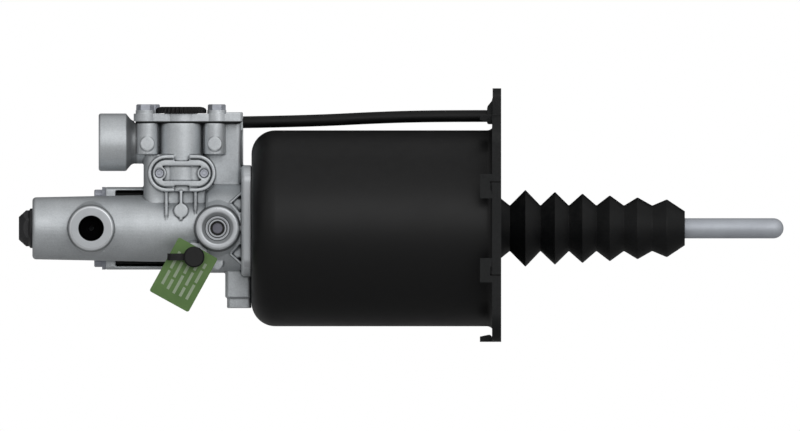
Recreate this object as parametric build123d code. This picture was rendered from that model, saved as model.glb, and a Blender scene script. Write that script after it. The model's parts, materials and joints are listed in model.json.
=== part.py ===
from build123d import *
from math import cos, dist, pi, radians, sin, sqrt, tan
import os

# Clutch servo: a hydraulic nose, a relay valve and an air cylinder in one line.
# Frame: origin on the rod axis in the outer face of the end cover, +X out along
# the push rod, +Z up. The valve's ports face -Y. All sizes are in millimetres.

# Clearances
fit_gap = 0.05
slip_gap = 0.1
soft_gap = 0.3

# Air cylinder, a drawn shell with a square flange
shell_r = 53.4
shell_wall = 2.0
shell_left = -136.1
shell_corner_r = 13.0
shell_flare_r = 4.0
flange_border = 5.1
flange_left = -3.9
flange_corner_r = 14.0
cover_plate = 2.0
mount_inset = 14.5
mount_hole_r = 5.5

# End cover, clipped over the flange; its ear and hump are counted from its edge
cover_side_gap = 1.4
cover_corner_r = 15.0
cover_skirt = 2.0
cover_depth = 5.0
hook_width = 13.2
hook_reach = 11.6
hook_offset = 22.9
hook_thick = 2.9
hook_barb_x = -6.0
hook_barb = 1.0
hook_groove = 1.2
hook_groove_width = 1.3
hook_groove_run = 4.5
hook_groove_x = -5.2
stop_ring_gap = 7.4
stop_ring_wall = 4.0
ear_rise = 14.4
ear_half_width = 9.0
ear_thick = 4.7
ear_round_r = 5.0
hump_left = -7.7
hump_neck_x = -5.2
hump_top = 10.4
hump_neck = 7.5
hump_shoulder = 4.4
hump_bottom = -5.2
hump_half_width = 5.0
hump_neck_r = 2.0
hump_shoulder_r = 3.0
hump_edge_r = 1.0
boot_hole_r = 13.1
boot_seat = 1.0

# Boot: folds given as (x, outer radius), valley and peak in turn
boot_start_r = 16.2
boot_neck_r = 13.0
boot_lip_r = 15.6
boot_lip = 1.6
boot_wall = 1.6
boot_valley_r = 12.4
boot_valleys = [4.7, 21.4, 36.9, 51.9, 66.9, 82.3]
boot_peaks = [(13.2, 20.7), (29.3, 19.6), (44.3, 18.7), (59.2, 17.7), (74.3, 16.6), (90.3, 15.5)]
boot_end_x = 99.8
boot_end_r = 9.05
boot_grip = 7.0

# Push rod, plunger and air piston
rod_r = 5.5
rod_tip_x = 153.9
rod_socket = 26.0
piston_right = -12.2
piston_rim = 15.0
piston_web = 5.0
piston_clear = 0.5
piston_hub_r = 17.0
piston_hub_length = 20.0
piston_rim_wall = 6.5
piston_edge = 1.5
piston_bend = 3.0
piston_groove_depth = 3.0
piston_seal_width = 4.0
guide_ring_width = 3.5
guide_ring_thick = 1.6
nut_height = 7.0
nut_across = 24.0
nut_thread_r = 8.0
plunger_r = 11.0
plunger_left = -146.0

# Preload spring round the plunger
spring_side_gap = 10.4
spring_wire = 2.6
spring_turns = 5

# Nose barrel of the casting
nose_left = -255.5
nose_r = 16.9
nose_edge_r = 2.0
nose_draft_x = -191.0
barrel_r = 18.2
barrel_right = -158.0
rear_barrel_length = 24.9
rear_barrel_r = 24.3
rear_barrel_edge = 1.2
bore_r = 11.6
bore_left = -240.0
nose_port_r = 7.0
nose_port_depth = 9.0
nose_drill_r = 3.0

# Casting flange, spigot and lower lug
casting_flange_thick = 5.5
casting_flange_top = 34.4
casting_flange_bottom = -26.1
casting_flange_half_width = 30.0
casting_flange_corner_r = 9.0
casting_flange_edge = 1.2
spigot_r = 20.0
spigot_length = 18.1
lug_reach = 14.3
lug_bottom = -43.5
lug_step_z = -37.7
lug_step = 1.0
lug_half_width = 8.0
lug_foot_half_width = 6.0

# Screws that hold the shell to the casting
shell_screw_circle_r = 31.0
shell_screw_angles = [74.0, 106.0, 270.0]
shell_screw_r = 3.0
shell_screw_head_r = 5.0
shell_screw_head = 5.5
shell_screw_grip = 6.3
shell_screw_room = 0.5
o_ring_r = 22.9
o_ring_width = 2.4
o_ring_depth = 1.8

# Plunger guide and seal, inside the spigot
guide_bore_r = 14.0
guide_inset = 3.9
plunger_seal_length = 6.0
bush_length = 11.0
retainer_length = 1.6
retainer_lip = 1.4

# Valve body
valve_x = -174.5
valve_y = -6.5
valve_tower_r = 11.75
valve_tower_bottom = 24.0
valve_top = 57.4
body_left = -194.9
body_right = -141.9
body_front = -5.0
body_back = 22.0
body_bottom = 12.0
body_edge_r = 2.0
apron_front = -12.0
apron_corner_r = 6.5
strip_right = -140.6
strip_front = 10.0
strip_bottom = 32.5
column_offset = 18.4
column_r = 5.67
column_y = -12.0
column_bottom = 40.3
pad_r = 3.8
pad_proud = 0.5
pad_groove = 0.4
column_pad_z = 46.0

# Oval seat on the front of the valve body, with two pins and a sunk window
seat_x = -174.1
seat_z = 30.0
seat_width = 36.8
seat_height = 19.8
seat_face = -19.9
seat_rim = 1.7
seat_rim_proud = 0.4
seat_groove = 1.0
seat_groove_depth = 1.0
notch_width = 8.1
notch_depth = 3.3
window_width = 21.2
window_height = 8.3
window_floor = -16.6
pin_offset = 12.15
pin_r = 2.1
pin_pad_r = 3.6
pin_ring_r = 2.9
pin_recess = 0.6
pin_groove_r = 1.5
pin_dot_r = 0.8
pin_groove = 0.5
pin_length = 9.0

# Ribs, keyhole pad and small pads below the seat
rib_width = 1.5
rib_top = 20.6
rib_point = 4.0
ribs = [(-182.5, 3.6), (-166.6, 6.9)]
rib_front = -19.0
keyhole_z = 9.6
keyhole_face = -18.6
keyhole_nib = 1.2
low_pad_x = -155.3
low_pad_z = -19.1
low_pad_face = -17.2

# Cover of the valve body
gasket_thick = 0.9
lid_left = -199.7
lid_right = -140.8
lid_front = -16.5
lid_bulge_r = 6.3
lid_back = 23.0
lid_top = 62.5
lid_corner_r = 5.5
lid_small_r = 2.5
lid_step_x = -150.0
lid_step = 0.8
lid_edge_r = 0.6
lid_boss_r = 5.2
lid_boss_top = 64.4
bolt_offset = 19.5
rear_bolt_left_x = -190.9
front_bolt_y = -12.0
rear_bolt_y = 16.0
bolt_r = 2.5
bolt_across = 8.5
bolt_head = 3.2
bolt_length = 19.0
bolt_chamfer = 0.5

# Exhaust cap and its filter
cap_r = 14.15
cap_top = 66.2
cap_slope_r = 11.6
cap_wall = 1.2
cap_slots = 24
cap_slot_width = 1.5
cap_slot_height = 1.6
cap_notch = 0.9
cap_clip = 1.2
cap_collar_r = 9.0
cap_collar_wall = 1.5
cap_collar_top = 64.6
filter_thick = 1.2
filter_bore_r = 3.0

# Valve works
upper_bore_r = 9.0
upper_bore_bottom = 40.0
lower_bore_r = 8.5
lower_bore_bottom = 21.0
seat_ring_height = 3.6
seat_lip = 1.0
seat_bore_r = 5.0
seat_lip_wall = 1.0
relay_bottom = 22.2
relay_height = 5.6
relay_stem_r = 2.6
relay_groove_depth = 1.6
relay_groove = 2.6
relay_stroke = 2.5
poppet_stroke = 1.5
poppet_r = 7.2
poppet_disc = 2.6
poppet_tube_r = 3.4
poppet_tube_bore_r = 1.9
poppet_tube_top = 60.6
relay_spring_r = 5.6
relay_spring_wire = 1.0
relay_spring_turns = 4
poppet_spring_r = 6.0
poppet_spring_wire = 1.2
poppet_spring_turns = 4
hydraulic_drill_r = 1.6
air_drill_r = 2.5
air_drill_z = 31.0
inlet_drill_r = 5.0

# Air port, facing -X
air_port_z = 46.9
air_port_left = -219.4
air_port_r = 15.7
air_port_cone_x = -204.5
air_neck_x = -201.2
air_neck_r = 11.7
air_hole_r = 10.2
air_hole_depth = 12.0
port_edge = 0.8
strainer_r = 6.5
strainer_bore_depth = 10.0
strainer_wall = 1.0
strainer_length = 6.0

# Hydraulic port and test port, facing -Y
oil_port_x = -223.5
oil_port_r = 12.3
oil_port_base_r = 13.3
oil_port_face = -24.0
oil_port_flare = [(12.6, -15.5), (16.5, -5.0)]
oil_hole_r = 6.4
oil_hole_depth = 10.0
port_drill_r = 1.5
test_port_x = -154.6
test_port_r = 12.0
test_port_base_r = 13.0
test_port_face = -28.0
test_port_flare = [(12.1, -24.8), (17.5, -15.0)]
test_recess_r = 8.6
test_recess_depth = 1.8
test_bore_r = 6.6
test_bore_depth = 14.0
sleeve_face = -26.6
sleeve_length = 9.0
sleeve_bore_r = 4.0
sleeve_ring_r = 5.2
sleeve_ring_width = 0.8
sleeve_ring_depth = 0.8
test_seal_bore_r = 2.78
test_pin_r = 2.7
test_pin_face = -25.6
test_pin_length = 6.0
test_pin_collar_r = 3.7
test_pin_collar = 1.4
test_spring_r = 2.7
test_spring_wire = 0.7
test_spring_turns = 4

# Gussets between the test port boss and the flange, with a pocket inside each
gusset_width = 1.0
gusset_length = 8.0
gusset_offset = 3.0
gusset_z = 16.6
gusset_turn = 41.5
gusset_face = -21.0
pocket_z = 6.5
pocket_reach = 5.5
pocket_floor = -18.5

# Bleeder screw, cap and tag
bleeder_x = -167.4
bleeder_z = -15.6
bleeder_boss_r = 7.9
bleeder_boss_face = -21.8
bleeder_thread_r = 3.1
bleeder_thread = 11.0
bleeder_hex = 8.0
bleeder_hex_height = 3.4
bleeder_neck_r = 3.0
bleeder_tip_y = -30.0
bleeder_head_r = 3.6
bleeder_head = 2.6
bleeder_cap_r = 5.7
bleeder_cap_y = -33.0
bleeder_cap_depth = 6.4
strap_width = 3.8
strap_thick = 1.1
strap_left = -182.0
strap_curl_r = 1.9
tag_width = 24.3
tag_length = 33.5
tag_turn = 28.9
tag_thick = 0.9
tag_y = -25.6
tag_corner_r = 1.2
tag_centre_x = -173.1
tag_centre_z = -25.3

# Sensor in its channel behind the nose
channel_left = -215.5
channel_right = -163.0
channel_half = 22.5
channel_wall = 1.9
channel_front = 6.0
channel_back = 29.0
channel_frame = 5.3
channel_end = 5.0
sensor_front = 19.0
sensor_window_half = 13.0
sensor_edge_r = 1.2
end_plate = 2.0
end_plate_corner_r = 3.0
sensor_screw_z = 18.2
sensor_screw_r = 1.9
sensor_screw_head_r = 2.9
sensor_screw_head = 4.3
sensor_screw_edge = 0.5
sensor_socket_r = 1.7
sensor_screw_grip = 4.6

# Nose plug
plug_flange_x = -255.5
plug_flange_r = 10.8
plug_flange = 1.1
plug_flange_cone = 1.2
plug_flange_top_r = 9.0
plug_hex_face = -262.9
plug_across = 17.0
plug_face_r = 6.2
plug_cone_slope = 1.1
plug_thread = 8.0
plug_seal_width = 1.4
plug_seal_r = 8.6

# Vent hose: route in (x, z), a gentle rise from the valve to the end cover
hose_r = 3.25
hose_bore_r = 2.2
hose_y = 4.0
hose_start_rise = 0.4
hose_knots = [(-105.0, 58.4), (-64.4, 60.5), (-34.0, 61.2)]
hose_right = -5.0
hose_end_drop = 0.7
hose_arc_share = 0.45
nipple_r = 1.95
nipple_bore_r = 1.2
nipple_inside = 4.0
nipple_grip = 9.0
nipple_boss_half = 5.0
nipple_boss_length = 6.0
nipple_boss_bottom = 53.4

# Places that follow from the sizes above
past = 1.0
flange_right = -cover_plate
flange_half = shell_r + flange_border
cover_half = flange_half + cover_side_gap + cover_skirt
mount_pitch = 2 * (flange_half - mount_inset)
ear_top = cover_half + ear_rise
shell_inner_r = shell_r - shell_wall
shell_floor = shell_left + shell_wall
spring_r = shell_inner_r - spring_side_gap
stop_ring_r = shell_inner_r - stop_ring_gap
casting_flange_left = shell_left - casting_flange_thick
rear_barrel_left = shell_left - rear_barrel_length
lug_left = shell_left - lug_reach
spigot_right = shell_left + spigot_length
guide_left = shell_left - guide_inset
gusset_x = casting_flange_left - gusset_offset
hose_left = lid_right + slip_gap
hose_ends = [(hose_left, valve_top + hose_start_rise), (hose_right, cover_half - hose_end_drop)]
hose_points = hose_ends[:1] + hose_knots + hose_ends[1:]
piston_r = shell_inner_r - piston_clear
piston_left = piston_right - piston_rim
web_left = piston_left
hub_left = web_left - piston_hub_length
seat_top = upper_bore_bottom + seat_ring_height + seat_lip
relay_top = relay_bottom + relay_height
stem_top = seat_top - (relay_stroke - poppet_stroke) - fit_gap
lid_bottom = valve_top + gasket_thick
bolt_grip = lid_boss_top
mount_spots = [(sy * mount_pitch / 2, sz * mount_pitch / 2) for sy in (-1, 1) for sz in (-1, 1)]
front_bolts = [(valve_x - bolt_offset, front_bolt_y), (valve_x + bolt_offset, front_bolt_y)]
rear_bolts = [(rear_bolt_left_x, rear_bolt_y), (valve_x + bolt_offset, rear_bolt_y)]
lid_bolts = front_bolts + rear_bolts
lid_bulges = [(x, y, lid_bulge_r) for x, y in front_bolts] + [(valve_x, valve_y, valve_tower_r)]
shell_screws = [
    (shell_screw_circle_r * cos(radians(a)), shell_screw_circle_r * sin(radians(a)))
    for a in shell_screw_angles
]
upright = (Align.CENTER, Align.CENTER, Align.MIN)


def outline(points, radii=None):
    """Closed outline through the points, with a radius for each corner."""
    if radii is None:
        return Polyline(*points, close=True)
    return FilletPolyline(*points, radius=radii, close=True)


def turned_x(points, radii=None):
    """Solid of revolution about X from (x, radius) points."""
    return revolve(make_face(Plane.XZ * outline(points, radii)), Axis.X)


def turned_y(x, z, points, radii=None):
    """Solid of revolution about a line along Y from (radius, y) points."""
    return Pos(x, 0, z) * revolve(make_face(outline(points, radii)), Axis.Y)


def turned_z(x, y, points, radii=None):
    """Solid of revolution about a line along Z from (radius, z) points."""
    return Pos(x, y, 0) * revolve(make_face(Plane.XZ * outline(points, radii)), Axis.Z)


def bar_x(x0, x1, r, y=0, z=0):
    """Round bar from x0 to x1."""
    return Pos(x0, y, z) * Rot(0, 90, 0) * Cylinder(r, x1 - x0, align=upright)


def bar_y(y0, y1, r, x, z):
    """Round bar from y0 to y1."""
    return Pos(x, y0, z) * Rot(-90, 0, 0) * Cylinder(r, y1 - y0, align=upright)


def bar_z(z0, z1, r, x, y):
    """Round bar from z0 to z1."""
    return Pos(x, y, z0) * Cylinder(r, z1 - z0, align=upright)


def ring_x(x0, x1, r_out, r_in, y=0, z=0):
    """Ring about X."""
    return bar_x(x0, x1, r_out, y, z) - bar_x(x0 - past, x1 + past, r_in, y, z)


def ring_y(y0, y1, r_out, r_in, x, z):
    """Ring about Y."""
    return bar_y(y0, y1, r_out, x, z) - bar_y(y0 - past, y1 + past, r_in, x, z)


def ring_z(z0, z1, r_out, r_in, x, y):
    """Ring about Z."""
    return bar_z(z0, z1, r_out, x, y) - bar_z(z0 - past, z1 + past, r_in, x, y)


def block(x0, x1, y0, y1, z0, z1):
    """Box between two corners."""
    return Pos(x0, y0, z0) * Box(x1 - x0, y1 - y0, z1 - z0, align=(Align.MIN, Align.MIN, Align.MIN))


def rounded(solid, axis, radius):
    """The solid with the edges along an axis rounded."""
    return fillet(solid.edges().filter_by(axis), radius)


def wall_yz(x0, x1, points):
    """Plate from x0 to x1 with an outline of (y, z) points."""
    face = make_face(Plane.YZ * outline(points))
    return Pos(x0, 0, 0) * extrude(face, x1 - x0, dir=(1, 0, 0))


def cut_corners(points, cuts):
    """The outline's points, with the corners named in cuts cut straight by the size given."""
    result = []
    for i, here in enumerate(points):
        if i not in cuts:
            result.append(here)
            continue
        for there in (points[i - 1], points[(i + 1) % len(points)]):
            share = cuts[i] / dist(here, there)
            result.append(tuple(a + (b - a) * share for a, b in zip(here, there)))
    return result


def coil(r, wire, turns, length):
    """Open spring of square wire along +Z, with its ends in the two end planes."""
    rise = length - wire
    path = Helix(rise / turns, rise, r, center=(0, 0, wire / 2))
    section = Plane(origin=path @ 0, x_dir=(1, 0, 0), z_dir=path % 0) * Rectangle(wire, wire)
    return sweep(section, path=path, is_frenet=True)


def stadium_y(y0, y1, width, height):
    """Bar of stadium section along Y, centred on the oval seat."""
    face = Plane(origin=(seat_x, y0, seat_z), x_dir=(1, 0, 0), z_dir=(0, 1, 0)) * SlotOverall(width, height)
    return extrude(face, y1 - y0, dir=(0, 1, 0))


def make_sensor_channel():
    """Open channel behind the nose that holds the sensor."""
    shell = block(channel_left, channel_right, channel_front, channel_back, -channel_half, channel_half)
    inner = channel_half - channel_wall
    pocket = block(
        channel_left + channel_frame,
        channel_right - channel_end,
        channel_front - past,
        channel_back - channel_wall,
        -inner,
        inner,
    )
    mouth = block(
        channel_left - past,
        channel_left + channel_frame + past,
        sensor_front,
        channel_back - channel_wall,
        -sensor_window_half,
        sensor_window_half,
    )
    channel = rounded(shell, Axis.X, channel_wall) - pocket - mouth
    for side in (-1, 1):
        x1 = channel_left + sensor_screw_grip + fit_gap
        y = (sensor_front + channel_back) / 2
        channel -= bar_x(channel_left - past, x1, sensor_screw_r + fit_gap, y, side * sensor_screw_z)
    return channel


def make_seat():
    """Oval seat: a rim, a groove inside it, notches and a sunk window."""
    rim_face = seat_face - seat_rim_proud
    body = stadium_y(rim_face, body_front + past, seat_width, seat_height)
    inner_width = seat_width - 2 * seat_rim
    inner_height = seat_height - 2 * seat_rim
    body -= stadium_y(rim_face - past, seat_face, inner_width, inner_height)
    groove = stadium_y(rim_face - past, seat_face + seat_groove_depth, inner_width, inner_height)
    island = stadium_y(
        rim_face - past,
        seat_face + seat_groove_depth,
        inner_width - 2 * seat_groove,
        inner_height - 2 * seat_groove,
    )
    body -= groove - island
    half_notch = notch_width / 2
    for side in (-1, 1):
        z_out = seat_z + side * (seat_height / 2 + past)
        z_in = seat_z + side * (seat_height / 2 - notch_depth)
        body -= block(
            seat_x - half_notch,
            seat_x + half_notch,
            rim_face - past,
            window_floor,
            min(z_out, z_in),
            max(z_out, z_in),
        )
    window = block(
        seat_x - window_width / 2,
        seat_x + window_width / 2,
        rim_face - past,
        window_floor,
        seat_z - window_height / 2,
        seat_z + window_height / 2,
    )
    for side in (-1, 1):
        window -= bar_y(rim_face - past, window_floor + past, pin_pad_r, seat_x + side * pin_offset, seat_z)
    return body - window


def make_valve_block():
    """Block of the valve body with its apron above the barrel."""
    back = block(body_left, body_right, body_front, body_back, body_bottom, valve_top)
    apron = block(
        body_left,
        rear_barrel_left + past,
        apron_front,
        body_front + past,
        body_bottom,
        column_bottom,
    )
    front_corners = apron.faces().sort_by(Axis.Y)[0].edges().filter_by(Axis.Z).sort_by(Axis.X)
    apron = fillet(front_corners[0], apron_corner_r)
    apron -= block(
        valve_x,
        rear_barrel_left + 2 * past,
        apron_front - past,
        body_front + past,
        seat_z,
        column_bottom + past,
    )
    return rounded(back, Axis.Z, body_edge_r) + apron


def make_valve_housing():
    """The one-piece casting with its bores."""
    nose = [(nose_left, 0), (nose_left, nose_r), (nose_draft_x, barrel_r), (barrel_right, barrel_r)]
    rear = [
        (rear_barrel_left, 0),
        (rear_barrel_left, rear_barrel_r),
        (shell_left - past, rear_barrel_r),
        (shell_left - past, 0),
    ]
    body = turned_x(nose + [(barrel_right, 0)], [0, nose_edge_r, 0, 0, 0])
    body += make_valve_block()
    body += turned_x(cut_corners(rear, {1: rear_barrel_edge}))
    for side in (-1, 1):
        body = body - make_gusset_pocket(side) + make_gusset(side)
    flange = block(
        casting_flange_left,
        shell_left,
        -casting_flange_half_width,
        casting_flange_half_width,
        casting_flange_bottom,
        casting_flange_top,
    )
    flange = rounded(flange, Axis.X, casting_flange_corner_r)
    body += chamfer(flange.faces().sort_by(Axis.X)[0].edges(), casting_flange_edge)
    body += bar_x(shell_left - past, spigot_right, spigot_r)
    lug = block(lug_left, shell_left, -lug_half_width, lug_half_width, lug_step_z, -rear_barrel_r / 2)
    foot = block(
        lug_left + lug_step,
        shell_left,
        -lug_foot_half_width,
        lug_foot_half_width,
        lug_bottom,
        lug_step_z + past,
    )
    body += rounded(lug, Axis.Z, body_edge_r)
    body += rounded(foot, Axis.Z, body_edge_r)

    body += block(body_right - past, strip_right, strip_front, body_back, strip_bottom, valve_top)
    body += bar_z(valve_tower_bottom, valve_top, valve_tower_r, valve_x, valve_y)
    for side in (-1, 1):
        x = valve_x + side * column_offset
        column = bar_z(column_bottom, valve_top, column_r, x, column_y)
        column += block(x - column_r, x + column_r, column_y, body_front + past, column_bottom, valve_top)
        front = column_y - column_r
        column -= ring_y(front - past, front + pad_groove, pad_r + pad_groove, pad_r, x, column_pad_z)
        column += bar_y(front - pad_proud, column_y, pad_r, x, column_pad_z)
        body += column
    body += make_seat()

    for x, foot_z in ribs:
        body += make_rib(x, foot_z)
    body += bar_y(keyhole_face, -barrel_r / 2, pad_r, valve_x, keyhole_z)
    body += block(
        valve_x - rib_width / 2,
        valve_x + rib_width / 2,
        keyhole_face,
        -barrel_r / 2,
        keyhole_z - pad_r - keyhole_nib,
        rib_top,
    )
    body += bar_y(low_pad_face, -rear_barrel_r / 2, pad_r, low_pad_x, low_pad_z)

    profile = [
        (air_port_left, 0),
        (air_port_left, air_port_r),
        (air_port_cone_x, air_port_r),
        (air_neck_x, air_neck_r),
        (body_left + past, air_neck_r),
        (body_left + past, 0),
    ]
    body += Pos(0, 0, air_port_z) * turned_x(cut_corners(profile, {1: port_edge, 3: port_edge}))

    boss = [(0, oil_port_face), (oil_port_r, oil_port_face), (oil_port_base_r, 0), (0, 0)]
    body += turned_y(oil_port_x, 0, cut_corners(boss, {1: port_edge}))
    body += make_flare(oil_port_x, oil_port_flare)
    boss = [(0, test_port_face), (test_port_r, test_port_face), (test_port_base_r, 0), (0, 0)]
    body += turned_y(test_port_x, 0, cut_corners(boss, {1: port_edge}))
    rear_room = block(
        rear_barrel_left + rear_barrel_edge,
        shell_left - past,
        test_port_face,
        0,
        -rear_barrel_r,
        rear_barrel_r,
    )
    body += make_flare(test_port_x, test_port_flare) & rear_room
    body += bar_y(bleeder_boss_face, -rear_barrel_r / 8, bleeder_boss_r, bleeder_x, bleeder_z)
    body += make_sensor_channel()
    return body - make_housing_bores()


def make_flare(x, flare):
    """Cone round a port's boss that runs out into the barrel."""
    (top_r, top_y), (foot_r, foot_y) = flare
    return turned_y(x, 0, [(0, top_y), (top_r, top_y), (foot_r, foot_y), (0, foot_y)])


def make_rib(x, foot_z):
    """Thin rib from the seat's underside to the barrel, pointed at its foot."""
    foot_y = -sqrt(barrel_r**2 - foot_z**2)
    rib = wall_yz(
        x - rib_width / 2,
        x + rib_width / 2,
        [(rib_front, rib_top), (foot_y, foot_z), (foot_y / 2, foot_z), (foot_y / 2, rib_top)],
    )
    front = [
        (x - rib_width / 2, rib_top),
        (x + rib_width / 2, rib_top),
        (x + rib_width / 2, foot_z + rib_point),
        (x, foot_z),
        (x - rib_width / 2, foot_z + rib_point),
    ]
    return rib & extrude(make_face(Plane.XZ * outline(front)), -rib_front, dir=(0, -1, 0))


def make_gusset(side):
    """Thin ridge from the test port boss to the flange, above or below it."""
    depth = rear_barrel_r / 2
    ridge = Box(gusset_length, gusset_width, depth, align=(Align.CENTER, Align.CENTER, Align.MIN))
    ridge = Rot(-90, 0, 0) * ridge
    return Pos(gusset_x, gusset_face, side * gusset_z) * Rot(0, -side * gusset_turn, 0) * ridge


def make_gusset_pocket(side):
    """Three-cornered hollow between a gusset, the boss and the flange."""
    rise = pocket_reach * tan(radians(gusset_turn))
    corners = [
        (casting_flange_left + past, side * gusset_z + side * rise / 2),
        (casting_flange_left - pocket_reach, side * gusset_z - side * rise / 2),
        (casting_flange_left + past, side * pocket_z),
    ]
    face = make_face(Plane.XZ * outline(corners))
    return Pos(0, pocket_floor, 0) * extrude(face, rear_barrel_r, dir=(0, -1, 0))


def make_housing_bores():
    """Every bore and drilling of the casting."""
    cuts = bar_x(bore_left, guide_left + past, bore_r)
    cuts += bar_x(guide_left, spigot_right + past, guide_bore_r)
    cuts += bar_x(nose_left - past, nose_left + nose_port_depth, nose_port_r)
    cuts += bar_x(nose_left, bore_left + past, nose_drill_r)
    cuts += bar_z(upper_bore_bottom, valve_top + past, upper_bore_r, valve_x, valve_y)
    cuts += bar_z(lower_bore_bottom, valve_top, lower_bore_r, valve_x, valve_y)
    cuts += bar_z(bore_r / 2, lower_bore_bottom + past, hydraulic_drill_r, valve_x, valve_y)
    cuts += bar_x(valve_x + upper_bore_r / 2, shell_left + past, air_drill_r, 0, air_drill_z)
    cuts += bar_x(air_port_left - past, air_port_left + air_hole_depth, air_hole_r, 0, air_port_z)
    strainer_floor = air_port_left + air_hole_depth + strainer_bore_depth
    cuts += bar_x(air_port_left, strainer_floor, strainer_r + fit_gap, 0, air_port_z)
    cuts += bar_x(air_port_left, valve_x - upper_bore_r / 2, inlet_drill_r, 0, air_port_z)
    cuts += bar_y(oil_port_face - past, oil_port_face + oil_hole_depth, oil_hole_r, oil_port_x, 0)
    cuts += bar_y(oil_port_face, -bore_r / 2, port_drill_r, oil_port_x, 0)
    drill_top = test_port_face + test_bore_depth
    cuts += turned_y(
        test_port_x,
        0,
        [
            (0, test_port_face - past),
            (test_recess_r, test_port_face - past),
            (test_recess_r, test_port_face),
            (test_bore_r, test_port_face + test_recess_depth),
            (test_bore_r, drill_top),
            (0, drill_top),
        ],
    )
    cuts += bar_y(drill_top - past, -bore_r / 2, port_drill_r, test_port_x, 0)
    thread_end = bleeder_boss_face + bleeder_thread + past
    cuts += bar_y(bleeder_boss_face - past, thread_end, bleeder_thread_r + fit_gap, bleeder_x, bleeder_z)
    bolt_end = bolt_grip - bolt_length - past
    for x, y in lid_bolts:
        cuts += bar_z(bolt_end, valve_top + past, bolt_r + fit_gap, x, y)
    for y, z in shell_screws:
        x0 = shell_floor - shell_screw_grip - shell_screw_room
        cuts += bar_x(x0, shell_left + past, shell_screw_r + fit_gap, y, z)
    cuts += ring_x(
        shell_left - o_ring_depth,
        shell_left + past,
        o_ring_r + o_ring_width / 2,
        o_ring_r - o_ring_width / 2,
    )
    for side in (-1, 1):
        x = seat_x + side * pin_offset
        cuts += bar_y(seat_face - past, seat_face + pin_length + past, pin_r + fit_gap, x, seat_z)
        cuts += bar_y(seat_face - past, seat_face + pin_recess, pin_ring_r, x, seat_z)
    cuts += block(
        channel_left + channel_frame,
        channel_right - channel_end,
        sensor_front - slip_gap,
        channel_back - channel_wall,
        channel_wall - channel_half,
        channel_half - channel_wall,
    )
    cuts += block(
        lid_left - soft_gap,
        lid_right,
        lid_front,
        lid_back,
        valve_top,
        lid_top,
    )
    cuts += block(
        lid_right - nipple_boss_length - soft_gap,
        body_right + past,
        hose_y - nipple_boss_half - soft_gap,
        hose_y + nipple_boss_half + soft_gap,
        nipple_boss_bottom - soft_gap,
        valve_top + past,
    )
    return cuts


def make_valve_cover():
    """Cover plate with bolt bosses, exhaust collar and the hose boss."""
    plate = block(lid_left, lid_right, lid_front, lid_back, lid_bottom, lid_top)
    corners = plate.edges().filter_by(Axis.Z).sort_by(Axis.X)
    plate = fillet(corners[:2], lid_corner_r)
    corners = plate.edges().filter_by(Axis.Z).sort_by(Axis.X)
    plate = fillet(corners[-2:], lid_small_r)
    step = block(lid_step_x, lid_right, lid_front, lid_back, lid_top - past, lid_top + lid_step)
    corners = step.edges().filter_by(Axis.Z).sort_by(Axis.X)
    plate += fillet(corners[-2:], lid_small_r)
    plate = fillet(plate.faces().sort_by(Axis.Z)[-1].outer_wire().edges(), lid_edge_r)
    for x, y, r in lid_bulges:
        plate += bar_z(lid_bottom, lid_top, r, x, y)
    for x, y in lid_bolts:
        plate += bar_z(lid_top - past, lid_boss_top, lid_boss_r, x, y)
    collar_bore_r = cap_collar_r - cap_collar_wall
    plate += ring_z(lid_top - past, cap_collar_top, cap_collar_r, collar_bore_r, valve_x, valve_y)
    plate += block(
        lid_right - nipple_boss_length,
        lid_right,
        hose_y - nipple_boss_half,
        hose_y + nipple_boss_half,
        nipple_boss_bottom,
        lid_bottom + past,
    )
    plate -= bar_z(lid_bottom - past, lid_top + past, poppet_tube_r + fit_gap, valve_x, valve_y)
    for x, y in lid_bolts:
        plate -= bar_z(lid_bottom - past, lid_boss_top + past, bolt_r + fit_gap, x, y)
    hose_z = hose_points[0][1]
    plate -= bar_x(lid_right - nipple_inside, lid_right + past, nipple_r, hose_y, hose_z)
    drill_right = lid_right - nipple_inside
    plate -= bar_x(valve_x + cap_collar_r, drill_right + past, nipple_bore_r, hose_y, hose_z + past)
    return plate


def make_gasket():
    """Flat gasket under the cover."""
    sheet = block(lid_left + past, lid_right - past, lid_front + past, lid_back - past, valve_top, lid_bottom)
    sheet = rounded(sheet, Axis.Z, lid_corner_r - past)
    for x, y, r in lid_bulges:
        sheet += bar_z(valve_top, lid_bottom, r - past, x, y)
    sheet -= bar_z(valve_top - past, lid_bottom + past, upper_bore_r, valve_x, valve_y)
    for x, y in lid_bolts:
        sheet -= bar_z(valve_top - past, lid_bottom + past, bolt_r + soft_gap, x, y)
    sheet -= block(
        lid_right - nipple_boss_length - soft_gap,
        lid_right,
        hose_y - nipple_boss_half - soft_gap,
        hose_y + nipple_boss_half + soft_gap,
        valve_top - past,
        lid_bottom + past,
    )
    return sheet


def make_lid_bolts():
    """Four hexagon screws."""
    bolts = []
    hexagon = RegularPolygon(bolt_across / 2, 6, major_radius=False)
    for x, y in lid_bolts:
        head = Pos(x, y, bolt_grip) * extrude(hexagon, bolt_head)
        head = chamfer(head.faces().sort_by(Axis.Z)[-1].edges(), bolt_chamfer)
        bolts.append(head + bar_z(bolt_grip - bolt_length, bolt_grip + past, bolt_r, x, y))
    return bolts


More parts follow.
